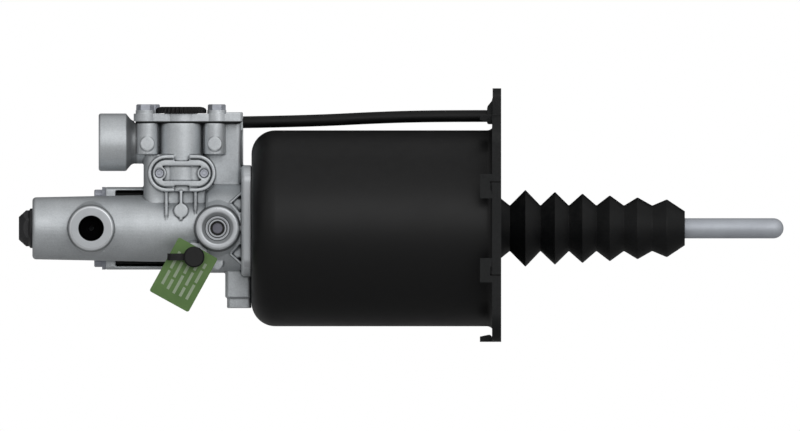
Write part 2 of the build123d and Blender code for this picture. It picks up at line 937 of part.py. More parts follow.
def make_exhaust_cap():
    """Shallow cap with a slotted, sloping edge."""
    roof = cap_top - cap_wall
    base = lid_top + lid_step
    cap = turned_z(
        valve_x,
        valve_y,
        [
            (0, cap_top),
            (cap_slope_r, cap_top),
            (cap_r, cap_top - (cap_r - cap_slope_r)),
            (cap_r, base + slip_gap),
            (cap_r - cap_wall, base + slip_gap),
            (cap_r - cap_wall, roof - (cap_r - cap_slope_r) / 2),
            (cap_slope_r, roof),
            (0, roof),
        ],
    )
    for i in range(cap_slots):
        slot = block(
            cap_r - cap_wall - past,
            cap_r + past,
            -cap_slot_width / 2,
            cap_slot_width / 2,
            base - past,
            base + cap_slot_height,
        )
        slot += block(
            cap_r - cap_notch,
            cap_r + past,
            -cap_slot_width / 2,
            cap_slot_width / 2,
            base - past,
            cap_top,
        )
        cap -= Pos(valve_x, valve_y, 0) * Rot(0, 0, i * 360 / cap_slots) * slot
    clip_bottom = cap_collar_top - past
    clip_r = cap_collar_r + slip_gap
    cap += ring_z(clip_bottom, roof + past / 2, clip_r + cap_clip, clip_r, valve_x, valve_y)
    return cap


def make_boot():
    """Bellows with straight folds; its foot sits in the cover and its end grips the rod."""
    outer = [(0, boot_start_r)]
    for x, (peak_x, peak_r) in zip(boot_valleys, boot_peaks):
        outer.append((x, boot_valley_r))
        outer.append((peak_x, peak_r))
    outer.append((boot_end_x, boot_end_r))
    grip_r = rod_r + fit_gap
    inner = [(x, r - boot_wall) for x, r in outer[1:-1]]
    points = [(-cover_plate - boot_lip, boot_neck_r - boot_wall), (-cover_plate - boot_lip, boot_lip_r)]
    points += [(-cover_plate, boot_lip_r), (-cover_plate, boot_neck_r)]
    points += [(-boot_seat, boot_neck_r), (-boot_seat, boot_start_r)]
    points += outer
    points += [(boot_end_x, grip_r), (boot_end_x - boot_grip, grip_r)]
    points += [(inner[-1][0], inner[-1][1])]
    points += list(reversed(inner[:-1]))
    points += [(0, boot_neck_r - boot_wall)]
    return turned_x(points)


def make_air_cylinder():
    """Drawn shell: closed on the left but for the spigot hole, flanged on the right."""
    inner_cut = (shell_corner_r - shell_wall) * (2 - sqrt(2))
    flare_x = flange_left - shell_flare_r
    flare_out = shell_r + shell_flare_r
    profile = [
        (shell_floor, shell_inner_r),
        (shell_floor, spigot_r + slip_gap),
        (shell_left, spigot_r + slip_gap),
        (shell_left, shell_r),
        (flange_left, shell_r),
        (flange_left, flare_out + past),
        (flange_right, flare_out + past),
        (flange_right, shell_inner_r),
    ]
    radii = [0, 0, 0, 0, shell_corner_r, shell_flare_r, 0, 0, 0]
    shell = turned_x(cut_corners(profile, {0: inner_cut}), radii)
    plate = block(flange_left, flange_right, -flange_half, flange_half, -flange_half, flange_half)
    plate = rounded(plate, Axis.X, flange_corner_r)
    plate -= bar_x(flange_left - past, flange_right + past, flare_out)
    shell += plate
    for y, z in mount_spots:
        shell -= bar_x(flare_x, flange_right + past, mount_hole_r, y, z)
    for y, z in shell_screws:
        shell -= bar_x(shell_left - past, shell_floor + past, shell_screw_r + slip_gap, y, z)
    shell -= bar_x(shell_left - past, shell_floor + past, air_drill_r, 0, air_drill_z)
    return shell


def make_hook():
    """One snap hook standing on the top edge of the cover, with its mark groove."""
    inner = cover_half - hook_thick
    tip = inner - hook_barb
    profile = [
        (0, cover_half),
        (-hook_reach, cover_half),
        (-hook_reach, inner),
        (hook_barb_x - past, tip),
        (hook_barb_x, tip),
        (hook_barb_x + hook_barb, inner),
        (flange_left, inner),
        (flange_left, cover_half - cover_skirt),
        (0, cover_half - cover_skirt),
    ]
    face = make_face(Plane.XZ * outline(profile))
    hook = Pos(0, hook_width / 2, 0) * extrude(face, hook_width, dir=(0, -1, 0))
    deep = cover_half - hook_groove
    run = block(
        hook_groove_x,
        hook_groove_x + hook_groove_width,
        -hook_groove_width / 2,
        hook_groove_run,
        deep,
        cover_half + past,
    )
    side = block(
        hook_groove_x,
        hook_groove_x + hook_groove_run,
        -hook_groove_width / 2,
        hook_groove_width / 2,
        deep,
        cover_half + past,
    )
    return hook - run - side


def make_end_cover():
    """Square cover with its skirt, eight hooks, stop ring and hose ear."""
    cover = block(-cover_depth, 0, -cover_half, cover_half, -cover_half, cover_half)
    cover = rounded(cover, Axis.X, cover_corner_r)
    inner = cover_half - cover_skirt
    hollow = block(-cover_depth - past, -cover_plate, -inner, inner, -inner, inner)
    cover -= rounded(hollow, Axis.X, cover_corner_r - cover_skirt)
    for turn in range(4):
        for side in (-1, 1):
            hook = make_hook()
            if side > 0:
                hook = mirror(hook, about=Plane.XZ)
            cover += Rot(turn * 90, 0, 0) * Pos(0, side * hook_offset, 0) * hook
    cover += ring_x(piston_right + slip_gap, -cover_plate + past, stop_ring_r, stop_ring_r - stop_ring_wall)
    ear = block(-ear_thick, 0, hose_y - ear_half_width, hose_y + ear_half_width, cover_half - past, ear_top)
    ear_corners = ear.edges().filter_by(Axis.X).sort_by(Axis.Z)
    cover += fillet(ear_corners[-2:], ear_round_r)
    cover += make_hump()
    hose_end_x, hose_end_z = hose_points[-1]
    spigot_left = hose_end_x - nipple_grip
    cover += bar_x(spigot_left, -cover_plate, nipple_r, hose_y, hose_end_z)
    cover -= bar_x(spigot_left - past, -cover_plate + past / 2, nipple_bore_r, hose_y, hose_end_z)
    cover -= bar_x(-cover_depth - past, past, boot_hole_r)
    cover -= bar_x(-boot_seat, past, boot_start_r + soft_gap)
    for y, z in mount_spots:
        cover -= bar_x(-cover_depth, past, mount_hole_r, y, z)
    return cover


def make_hump():
    """Socket on the ear's inner side that takes the hose's end."""
    right = soft_gap - ear_thick
    corners = [
        (right, cover_half + hump_top),
        (hump_neck_x, cover_half + hump_neck),
        (hump_left, cover_half + hump_shoulder),
        (hump_left, cover_half + hump_bottom),
        (right, cover_half + hump_bottom),
    ]
    face = make_face(Plane.XZ * outline(corners, [0, hump_neck_r, hump_shoulder_r, hump_edge_r, 0]))
    hump = Pos(0, hose_y + hump_half_width, 0) * extrude(face, 2 * hump_half_width, dir=(0, -1, 0))
    hose_end_x, hose_end_z = hose_points[-1]
    return hump - bar_x(hump_left - past, hose_end_x, hose_r + slip_gap, hose_y, hose_end_z)


def make_shell_screws():
    """Socket screws inside the cylinder that pull the shell to the casting."""
    screws = []
    for y, z in shell_screws:
        head = bar_x(shell_floor, shell_floor + shell_screw_head, shell_screw_head_r, y, z)
        socket = RegularPolygon(shell_screw_r, 6)
        socket_plane = Plane(origin=(shell_floor + shell_screw_head, y, z), z_dir=(1, 0, 0))
        head -= extrude(socket_plane * socket, -shell_screw_head / 2, dir=(1, 0, 0))
        screws.append(head + bar_x(shell_floor - shell_screw_grip, shell_floor + past, shell_screw_r, y, z))
    return screws


def make_air_piston():
    """Pressed piston: web, rim with two grooves, hub on the plunger's neck."""
    rim_inner = piston_r - piston_rim_wall
    profile = [
        (hub_left + nut_height, nut_thread_r + fit_gap),
        (hub_left + nut_height, piston_hub_r),
        (piston_left, piston_hub_r),
        (piston_left, piston_r),
        (piston_right, piston_r),
        (piston_right, rim_inner),
        (piston_left + piston_web, rim_inner),
        (piston_left + piston_web, nut_thread_r + fit_gap),
    ]
    cuts = {1: piston_edge, 2: piston_bend, 3: piston_edge, 4: piston_edge, 6: piston_bend}
    piston = turned_x(cut_corners(profile, cuts))
    floor_r = piston_r - piston_groove_depth
    seal_left, seal_right = piston_seal_span()
    piston -= ring_x(seal_left, seal_right, piston_r + past, floor_r)
    guide_left_x, guide_right_x = guide_ring_span()
    piston -= ring_x(guide_left_x, guide_right_x, piston_r + past, piston_r - guide_ring_thick)
    return piston


def piston_seal_span():
    """Start and end of the seal groove in the piston's rim."""
    left = piston_left + piston_seal_width / 2 + past
    return left, left + piston_seal_width


def guide_ring_span():
    """Start and end of the guide ring groove in the piston's rim."""
    right = piston_right - guide_ring_width / 2
    return right - guide_ring_width, right


def make_plunger():
    """Steel plunger with a stepped neck that takes the piston and the rod's socket."""
    shoulder = hub_left + nut_height
    neck_right = piston_left + piston_web + nut_height
    profile = [
        (plunger_left, 0),
        (plunger_left, plunger_r),
        (shoulder, plunger_r),
        (shoulder, nut_thread_r),
        (neck_right, nut_thread_r),
        (neck_right, 0),
    ]
    plunger = turned_x(cut_corners(profile, {1: piston_edge, 4: port_edge}))
    return plunger - bar_x(neck_right - rod_socket, neck_right + past, rod_r + fit_gap)


def make_piston_nut():
    """Hexagon nut that clamps the piston to the plunger's neck."""
    left = piston_left + piston_web
    hexagon = RegularPolygon(nut_across / 2, 6, major_radius=False)
    hexagon = Plane(origin=(left, 0, 0), z_dir=(1, 0, 0)) * hexagon
    nut = extrude(hexagon, nut_height - past, dir=(1, 0, 0))
    return nut - bar_x(left - past, left + nut_height, nut_thread_r + fit_gap)


def make_push_rod():
    """Rod with a round tip."""
    left = piston_left + piston_web + nut_height - rod_socket
    return bar_x(left, rod_tip_x - rod_r, rod_r) + Pos(rod_tip_x - rod_r, 0, 0) * Sphere(rod_r)


def make_relay_piston():
    """Small hydraulic piston with a stem that lifts the poppet."""
    relay_r = lower_bore_r - fit_gap
    piston = bar_z(relay_bottom, relay_top, relay_r, valve_x, valve_y)
    piston += bar_z(relay_top - past, stem_top, relay_stem_r, valve_x, valve_y)
    low, high = relay_groove_span()
    return piston - ring_z(low, high, relay_r + past, relay_r - relay_groove_depth, valve_x, valve_y)


def relay_groove_span():
    """Bottom and top of the relay piston's seal groove."""
    middle = (relay_bottom + relay_top) / 2
    return middle - relay_groove / 2, middle + relay_groove / 2


def make_valve_seat():
    """Ring with the raised inlet lip."""
    step = upper_bore_bottom + seat_ring_height
    ring = bar_z(upper_bore_bottom, step, upper_bore_r - fit_gap, valve_x, valve_y)
    ring += bar_z(step - past, seat_top, seat_bore_r + seat_lip_wall, valve_x, valve_y)
    return ring - bar_z(upper_bore_bottom - past, seat_top + past, seat_bore_r, valve_x, valve_y)


def make_poppet():
    """Valve disc on a tube that guides it in the cover and carries the exhaust."""
    disc = bar_z(seat_top, seat_top + poppet_disc, poppet_r, valve_x, valve_y)
    disc += bar_z(seat_top + past, poppet_tube_top, poppet_tube_r, valve_x, valve_y)
    return disc - bar_z(seat_top - past, poppet_tube_top + past, poppet_tube_bore_r, valve_x, valve_y)


def make_test_port():
    """Sleeve, seal, sprung pin and spring of the test connection."""
    sleeve_end = sleeve_face + sleeve_length
    sleeve = ring_y(sleeve_face, sleeve_end, test_bore_r - fit_gap, sleeve_bore_r, test_port_x, 0)
    groove_r = sleeve_ring_r + sleeve_ring_width / 2
    groove_in = sleeve_ring_r - sleeve_ring_width / 2
    sleeve -= ring_y(sleeve_face - past, sleeve_face + sleeve_ring_depth, groove_r, groove_in, test_port_x, 0)
    seal_end = test_pin_face + test_pin_length - test_pin_collar - slip_gap
    seal = ring_y(test_pin_face, seal_end, sleeve_bore_r, test_seal_bore_r, test_port_x, 0)
    pin_end = test_pin_face + test_pin_length
    pin = bar_y(test_pin_face, pin_end, test_pin_r, test_port_x, 0)
    pin += bar_y(pin_end - test_pin_collar, pin_end, test_pin_collar_r, test_port_x, 0)
    spring_room = test_port_face + test_bore_depth - pin_end
    spring = coil(test_spring_r, test_spring_wire, test_spring_turns, spring_room)
    spring = Pos(test_port_x, pin_end, 0) * Rot(-90, 0, 0) * spring
    return sleeve, seal, pin, spring


def make_bleeder_screw():
    """Bleeder screw with its hexagon and barbed nipple."""
    thread_end = bleeder_boss_face + bleeder_thread
    screw = bar_y(bleeder_boss_face, thread_end, bleeder_thread_r, bleeder_x, bleeder_z)
    hex_plane = Plane(origin=(bleeder_x, bleeder_boss_face, bleeder_z), z_dir=(0, -1, 0))
    hexagon = hex_plane * RegularPolygon(bleeder_hex / 2, 6, major_radius=False)
    screw += extrude(hexagon, bleeder_hex_height, dir=(0, -1, 0))
    screw += bar_y(bleeder_tip_y, bleeder_boss_face, bleeder_neck_r, bleeder_x, bleeder_z)
    head = bleeder_tip_y + bleeder_head
    screw += bar_y(bleeder_tip_y + past, head, bleeder_head_r, bleeder_x, bleeder_z)
    return screw - bar_y(bleeder_tip_y - past, bleeder_boss_face, bleeder_neck_r / 3, bleeder_x, bleeder_z)


def make_bleeder_cap():
    """Rubber cap over the nipple, with a strap that curls at its end."""
    cap_end = bleeder_cap_y + bleeder_cap_depth
    profile = [(0, bleeder_cap_y), (bleeder_cap_r, bleeder_cap_y), (bleeder_cap_r, cap_end), (0, cap_end)]
    cap = turned_y(bleeder_x, bleeder_z, cut_corners(profile, {1: port_edge}))
    strap_y = bleeder_cap_y + bleeder_cap_depth / 2
    low = bleeder_z - strap_width / 2
    high = bleeder_z + strap_width / 2
    curl_x = strap_left + strap_curl_r + strap_thick
    cap += block(curl_x, bleeder_x, strap_y, strap_y + strap_thick, low, high)
    curl_y = strap_y - strap_curl_r
    curl = ring_z(low, high, strap_curl_r + strap_thick, strap_curl_r, curl_x, curl_y)
    reach = strap_curl_r + strap_thick + past
    curl -= block(curl_x, curl_x + reach, curl_y - reach, curl_y + reach, low - past, high + past)
    cap += curl
    cap -= bar_y(bleeder_tip_y - slip_gap, cap_end + past, bleeder_neck_r + slip_gap, bleeder_x, bleeder_z)
    head_end = bleeder_tip_y + bleeder_head + slip_gap
    cap -= bar_y(bleeder_tip_y + past - slip_gap, head_end, bleeder_head_r + slip_gap, bleeder_x, bleeder_z)
    return cap


def make_tag():
    """Flat tag that hangs on the bleeder's neck."""
    plane = Plane(origin=(tag_centre_x, tag_y, tag_centre_z), x_dir=(1, 0, 0), z_dir=(0, -1, 0))
    face = plane * RectangleRounded(tag_width, tag_length, tag_corner_r, rotation=-tag_turn)
    hole = bar_y(tag_y - tag_thick - past, tag_y + past, bleeder_neck_r + soft_gap, bleeder_x, bleeder_z)
    return extrude(face, tag_thick) - hole


def make_sensor():
    """Sensor body, its end plate and the two screws."""
    inner = channel_half - channel_wall - slip_gap
    body = block(
        channel_left + channel_frame + slip_gap,
        channel_right - channel_end - slip_gap,
        sensor_front,
        channel_back - channel_wall - slip_gap,
        -inner,
        inner,
    )
    body = rounded(body, Axis.X, sensor_edge_r)
    neck = sensor_window_half - slip_gap
    body += block(
        channel_left,
        channel_left + channel_frame + past,
        sensor_front + slip_gap,
        channel_back - channel_wall - slip_gap,
        -neck,
        neck,
    )
    plate_left = channel_left - end_plate
    plate_front = sensor_front - soft_gap
    plate = block(plate_left, channel_left, plate_front, channel_back, -channel_half, channel_half)
    plate = rounded(plate, Axis.X, end_plate_corner_r)
    y = (sensor_front + channel_back) / 2
    screws = []
    for side in (-1, 1):
        z = side * sensor_screw_z
        plate -= bar_x(plate_left - past, channel_left + past, sensor_screw_r + slip_gap, y, z)
        head = bar_x(plate_left - sensor_screw_head, plate_left, sensor_screw_head_r, y, z)
        head = chamfer(head.faces().sort_by(Axis.X)[0].edges(), sensor_screw_edge)
        socket_plane = Plane(origin=(plate_left - sensor_screw_head, y, z), z_dir=(-1, 0, 0))
        socket = socket_plane * RegularPolygon(sensor_socket_r, 6)
        head -= extrude(socket, -sensor_screw_head / 2, dir=(-1, 0, 0))
        screws.append(head + bar_x(plate_left - past, channel_left + sensor_screw_grip, sensor_screw_r, y, z))
    return body, plate, screws


def make_nose_plug():
    """Hexagon plug with a flange and a chamfered face."""
    hexagon = Plane(origin=(plug_hex_face, 0, 0), z_dir=(1, 0, 0))
    hexagon *= RegularPolygon(plug_across / 2, 6, major_radius=False)
    head_right = plug_flange_x - plug_flange
    head = extrude(hexagon, head_right - plug_hex_face, dir=(1, 0, 0))
    corner_r = plug_across / 2 / cos(pi / 6) + slip_gap
    rise = corner_r - plug_face_r
    head &= turned_x(
        [
            (plug_hex_face, 0),
            (plug_hex_face, plug_face_r),
            (plug_hex_face + rise * plug_cone_slope, corner_r),
            (head_right, corner_r),
            (head_right, 0),
        ]
    )
    head += turned_x(
        [
            (head_right - plug_flange_cone, 0),
            (head_right - plug_flange_cone, plug_flange_top_r),
            (head_right, plug_flange_r),
            (plug_flange_x, plug_flange_r),
            (plug_flange_x, 0),
        ]
    )
    head += bar_x(plug_flange_x - past, nose_left + plug_thread, nose_port_r - fit_gap)
    seal_left = plug_flange_x
    return head - ring_x(
        seal_left - plug_seal_width / 2, seal_left + past, plug_seal_r, nose_port_r - fit_gap
    )


def make_plug_seal():
    """Ring under the plug's flange."""
    return ring_x(
        plug_flange_x - plug_seal_width / 2, plug_flange_x, plug_seal_r - slip_gap, nose_port_r
    )


def make_seat_pins():
    """Two pins with a ring groove in their ends."""
    pins = []
    for side in (-1, 1):
        x = seat_x + side * pin_offset
        pin = bar_y(seat_face, seat_face + pin_length, pin_r, x, seat_z)
        pin -= ring_y(seat_face - past, seat_face + pin_groove, pin_groove_r, pin_dot_r, x, seat_z)
        pins.append(pin)
    return pins


def make_hose():
    """Vent hose: straight runs joined by arcs as large as the runs allow."""
    points = [Vector(x, hose_y, z) for x, z in hose_points]
    radii = []
    for before, here, after in zip(points, points[1:], points[2:]):
        turn = radians((here - before).get_angle(after - here))
        shorter = min((here - before).length, (after - here).length)
        radii.append(hose_arc_share * shorter / tan(turn / 2))
    print("hose radii", [round(r, 1) for r in radii])
    path = FilletPolyline(*points, radius=radii)
    start = Plane(origin=points[0], z_dir=path % 0)
    hose = sweep(start * (Circle(hose_r) - Circle(hose_bore_r)), path=path)
    ideal = pi * (hose_r**2 - hose_bore_r**2) * path.length
    print("hose length", round(path.length, 2), "volume ratio", round(hose.volume / ideal, 5))
    return hose


def make_hose_nipple():
    """Barbed tube in the cover's boss."""
    x, z = hose_points[0]
    tube = bar_x(lid_right - nipple_inside, x + nipple_grip, nipple_r, hose_y, z)
    return tube - bar_x(lid_right - nipple_inside - past, x + nipple_grip + past, nipple_bore_r, hose_y, z)


def make_strainer():
    """Cup-shaped inlet strainer on the floor of its bore, behind the air port."""
    floor_x = air_port_left + air_hole_depth + strainer_bore_depth
    left = floor_x - strainer_length
    cup = bar_x(left, floor_x, strainer_r, 0, air_port_z)
    return cup - bar_x(left + strainer_wall, floor_x + past, strainer_r - strainer_wall, 0, air_port_z)


test_sleeve, test_seal, test_pin, test_spring = make_test_port()
sensor_body, sensor_plate, sensor_screws = make_sensor()
seal_x0, seal_x1 = piston_seal_span()
guide_x0, guide_x1 = guide_ring_span()
groove_low, groove_high = relay_groove_span()
relay_spring_room = upper_bore_bottom - relay_top
poppet_spring_room = lid_bottom - seat_top - poppet_disc
bush_left = guide_left + plunger_seal_length + slip_gap
retainer_left = bush_left + bush_length + slip_gap
preload_room = web_left - shell_floor

nodes = {
    "valve_housing": make_valve_housing(),
    "valve_cover": make_valve_cover(),
    "cover_gasket": make_gasket(),
    "cover_bolts": make_lid_bolts(),
    "exhaust_cap": make_exhaust_cap(),
    "exhaust_filter": ring_z(
        lid_top,
        lid_top + filter_thick,
        cap_collar_r - cap_collar_wall - slip_gap,
        filter_bore_r,
        valve_x,
        valve_y,
    ),
    "nose_plug": make_nose_plug(),
    "nose_plug_seal": make_plug_seal(),
    "seat_pins": make_seat_pins(),
    "test_port_sleeve": test_sleeve,
    "test_port_seal": test_seal,
    "test_port_pin": test_pin,
    "test_port_spring": test_spring,
    "bleeder_screw": make_bleeder_screw(),
    "bleeder_cap": make_bleeder_cap(),
    "fluid_tag": make_tag(),
    "sensor_body": sensor_body,
    "sensor_end_plate": sensor_plate,
    "sensor_screws": sensor_screws,
    "relay_piston": make_relay_piston(),
    "relay_seal": ring_z(
        groove_low,
        groove_high,
        lower_bore_r - fit_gap / 2,
        lower_bore_r - fit_gap - relay_groove_depth,
        valve_x,
        valve_y,
    ),
    "relay_spring": Pos(valve_x, valve_y, relay_top)
    * coil(relay_spring_r, relay_spring_wire, relay_spring_turns, relay_spring_room),
    "valve_seat": make_valve_seat(),
    "poppet": make_poppet(),
    "poppet_spring": Pos(valve_x, valve_y, seat_top + poppet_disc)
    * coil(poppet_spring_r, poppet_spring_wire, poppet_spring_turns, poppet_spring_room),
    "inlet_strainer": make_strainer(),
    "plunger": make_plunger(),
    "plunger_seal": ring_x(guide_left, guide_left + plunger_seal_length, guide_bore_r, plunger_r + fit_gap),
    "plunger_bush": ring_x(bush_left, bush_left + bush_length, guide_bore_r - fit_gap, plunger_r + fit_gap),
    "seal_retainer": ring_x(
        retainer_left, retainer_left + retainer_length, guide_bore_r - fit_gap, plunger_r + retainer_lip
    ),
    "cylinder_seal": ring_x(
        shell_left - o_ring_depth,
        shell_left,
        o_ring_r + o_ring_width / 2 - slip_gap,
        o_ring_r - o_ring_width / 2 + slip_gap,
    ),
    "cylinder_screws": make_shell_screws(),
    "air_cylinder": make_air_cylinder(),
    "air_piston": make_air_piston(),
    "piston_seal": ring_x(seal_x0, seal_x1, shell_inner_r - fit_gap, piston_r - piston_groove_depth),
    "piston_guide_ring": ring_x(guide_x0, guide_x1, shell_inner_r - fit_gap, piston_r - guide_ring_thick),
    "piston_nut": make_piston_nut(),
    "push_rod": make_push_rod(),
    "preload_spring": Pos(shell_floor, 0, 0)
    * Rot(0, 90, 0)
    * coil(spring_r, spring_wire, spring_turns, preload_room),
    "end_cover": make_end_cover(),
    "boot": make_boot(),
    "vent_hose": make_hose(),
    "hose_nipple": make_hose_nipple(),
}

os.makedirs("parts", exist_ok=True)
for name, shape in nodes.items():
    solids = shape if isinstance(shape, list) else [shape]
    bodies = [solid for item in solids for solid in item.solids()]
    export_step(bodies[0] if len(bodies) == 1 else Compound(children=bodies), f"parts/{name}.step")
    print(name, len(bodies), "solid", round(sum(body.volume for body in bodies), 1), "mm3")
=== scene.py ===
import json
from math import cos, pi, radians, sin

import bmesh
import bpy
from mathutils import Matrix, Vector

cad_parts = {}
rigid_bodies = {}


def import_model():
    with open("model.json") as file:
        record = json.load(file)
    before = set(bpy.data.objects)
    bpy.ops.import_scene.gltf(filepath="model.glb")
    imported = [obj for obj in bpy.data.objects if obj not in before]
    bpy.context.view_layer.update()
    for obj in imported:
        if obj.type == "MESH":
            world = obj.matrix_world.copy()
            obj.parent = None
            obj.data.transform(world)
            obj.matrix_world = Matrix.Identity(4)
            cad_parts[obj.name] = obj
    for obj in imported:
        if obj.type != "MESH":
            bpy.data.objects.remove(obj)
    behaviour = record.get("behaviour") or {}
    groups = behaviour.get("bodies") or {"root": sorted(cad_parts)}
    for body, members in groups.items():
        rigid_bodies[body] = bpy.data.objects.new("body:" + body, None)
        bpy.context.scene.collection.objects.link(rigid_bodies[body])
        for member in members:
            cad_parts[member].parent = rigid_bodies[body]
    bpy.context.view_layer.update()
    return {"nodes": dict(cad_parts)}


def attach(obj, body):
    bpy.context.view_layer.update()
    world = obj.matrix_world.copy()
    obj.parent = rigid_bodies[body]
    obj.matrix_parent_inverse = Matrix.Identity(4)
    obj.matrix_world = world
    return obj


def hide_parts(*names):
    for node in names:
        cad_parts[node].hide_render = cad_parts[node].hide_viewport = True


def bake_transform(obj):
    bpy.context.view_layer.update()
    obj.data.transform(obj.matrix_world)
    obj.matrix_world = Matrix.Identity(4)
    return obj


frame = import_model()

# Clutch servo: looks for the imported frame. The rod runs along +X, the ports face -Y.

mm = 0.001
nodes = frame["nodes"]
print("frame loaded:", len(nodes), "nodes")


# ---- small node helpers

def addNode(tree, kind, settings=None, sockets=None):
    node = tree.nodes.new("ShaderNode" + kind)
    for key, value in (settings or {}).items():
        setattr(node, key, value)
    for key, value in (sockets or {}).items():
        if isinstance(value, bpy.types.NodeSocket):
            tree.links.new(value, node.inputs[key])
        else:
            node.inputs[key].default_value = value
    return node


def calc(tree, operation, first, second, clamp=False):
    settings = {"operation": operation, "use_clamp": clamp}
    return addNode(tree, "Math", settings, {0: first, 1: second}).outputs[0]


def times(tree, first, second, clamp=False):
    return calc(tree, "MULTIPLY", first, second, clamp)


def measure(tree, operation, first, second):
    # one number from two vectors
    return addNode(tree, "VectorMath", {"operation": operation}, {0: first, 1: second}).outputs["Value"]


def split(tree, vector):
    return addNode(tree, "SeparateXYZ", {}, {0: vector}).outputs


def surfaceNormal(tree):
    return addNode(tree, "NewGeometry").outputs["Normal"]


def remap(tree, value, low, high, newLow=0.0, newHigh=1.0):
    sockets = {"Value": value, "From Min": low, "From Max": high, "To Min": newLow, "To Max": newHigh}
    return addNode(tree, "MapRange", {"clamp": True}, sockets).outputs["Result"]


def mixColour(tree, share, first, second):
    return addNode(tree, "Mix", {"data_type": "RGBA"}, {0: share, 6: first, 7: second}).outputs[2]


def tinted(tree, mask, share, colour, tint):
    # the colour, turned towards the tint where the mask is 1
    return mixColour(tree, times(tree, mask, share), colour, tint)


def noise(tree, coords, scale, detail=3.0, roughness=0.55):
    sockets = {"Vector": coords, "Scale": scale, "Detail": detail, "Roughness": roughness}
    return addNode(tree, "TexNoise", {}, sockets).outputs["Fac"]


def bump(tree, height, strength, depth, normal=None):
    sockets = {"Height": height, "Strength": strength, "Distance": depth}
    if normal is not None:
        sockets["Normal"] = normal
    return addNode(tree, "Bump", {}, sockets).outputs["Normal"]


def uneven(tree, texture, level, less, more):
    # a roughness that wanders with a noise texture
    return remap(tree, texture, 0.3, 0.7, level - less, level + more)


def newGroup(name, inputs, outputs):
    tree = bpy.data.node_groups.new(name, "ShaderNodeTree")
    for label, kind, value in inputs:
        socket = tree.interface.new_socket(label, in_out="INPUT", socket_type="NodeSocket" + kind)
        socket.default_value = value
    for label, kind in outputs:
        tree.interface.new_socket(label, in_out="OUTPUT", socket_type="NodeSocket" + kind)
    return tree, tree.nodes.new("NodeGroupInput").outputs, tree.nodes.new("NodeGroupOutput").inputs


def useGroup(tree, group, sockets):
    return addNode(tree, "Group", {"node_tree": group}, sockets).outputs


def newFinish(name):
    material = bpy.data.materials.new(name)
    material.use_nodes = True
    tree = material.node_tree
    tree.nodes.clear()
    return material, tree, addNode(tree, "TexCoord").outputs["Object"]


def closeFinish(material, tree, sockets):
    shader = addNode(tree, "BsdfPrincipled", {}, sockets)
    addNode(tree, "OutputMaterial", {}, {"Surface": shader.outputs[0]})
    return material


def grey(level):
    return (level, level, level, 1.0)


# ---- small scene helpers

def dress(mesh, material):
    mesh.materials.clear()
    mesh.materials.append(material)


def placeObject(name, data):
    placed = bpy.data.objects.new(name, data)
    bpy.context.scene.collection.objects.link(placed)
    return placed


def meshFrom(bm, name):
    mesh = bpy.data.meshes.new(name)
    bm.to_mesh(mesh)
    bm.free()
    return mesh


def closedMesh(bm, name):
    # merges what meets, turns the faces outwards and makes the mesh
    bmesh.ops.remove_doubles(bm, verts=bm.verts, dist=0.001 * mm)
    bmesh.ops.recalc_face_normals(bm, faces=bm.faces)
    return meshFrom(bm, name)


def addBox(bm, size, middle):
    # a block, its size and middle in millimetres
    made = bmesh.ops.create_cube(bm, size=1.0)["verts"]
    bmesh.ops.scale(bm, vec=Vector(size) * mm, verts=made)
    bmesh.ops.translate(bm, vec=Vector(middle) * mm, verts=made)


# ---- shared effects

edgeLook = {"radius": 0.4 * mm, "samples": 6, "turned": (0.995, 0.82)}


def makeSoftEdge():
    # rounds sharp edges and says where they are
    tree, given, result = newGroup(
        "softEdge", [("Radius", "Float", edgeLook["radius"])], [("Normal", "Vector"), ("Edge", "Float")]
    )
    rounded = addNode(tree, "Bevel", {"samples": edgeLook["samples"]}, {"Radius": given["Radius"]}).outputs[0]
    likeness = measure(tree, "DOT_PRODUCT", rounded, surfaceNormal(tree))
    tree.links.new(rounded, result["Normal"])
    tree.links.new(remap(tree, likeness, *edgeLook["turned"]), result["Edge"])
    return tree


grainLook = {
    "scale": 1200.0, "pits": (0.1, 0.6), "blotchScale": 55.0, "toneRange": (0.32, 0.68),
    # shares of fine grain and pits in the height, and of fine grain and blotches in the tone
    "height": (0.7, 0.3), "tone": (0.45, 0.55),
}


def makeCastGrain():
    # fine sand-like skin with wider blotches
    tree, given, result = newGroup(
        "castGrain",
        [("Vector", "Vector", (0, 0, 0)), ("Scale", "Float", grainLook["scale"])],
        [("Height", "Float"), ("Tone", "Float")],
    )
    sockets = {"Vector": given["Vector"], "Scale": given["Scale"]}
    fine = noise(tree, given["Vector"], given["Scale"], 4.0, 0.6)
    cells = addNode(tree, "TexVoronoi", {"feature": "F1"}, sockets)
    pits = remap(tree, cells.outputs["Distance"], *grainLook["pits"])
    blotch = noise(tree, given["Vector"], grainLook["blotchScale"], 3.0, 0.6)
    fineShare, pitShare = grainLook["height"]
    height = calc(tree, "ADD", times(tree, fine, fineShare), times(tree, pits, pitShare))
    fineShare, blotchShare = grainLook["tone"]
    tone = calc(tree, "ADD", times(tree, fine, fineShare), times(tree, blotch, blotchShare))
    tree.links.new(height, result["Height"])
    tree.links.new(remap(tree, tone, *grainLook["toneRange"]), result["Tone"])
    return tree


reliefLook = {
    "hollow": (0.494, 0.45), "ridge": (0.515, 0.58), "reach": 3 * mm, "samples": 8,
    # how open it is round a point, and how much painted shade in hollows that gives
    "shut": (0.70, 0.25, 0.0, 0.85),
}


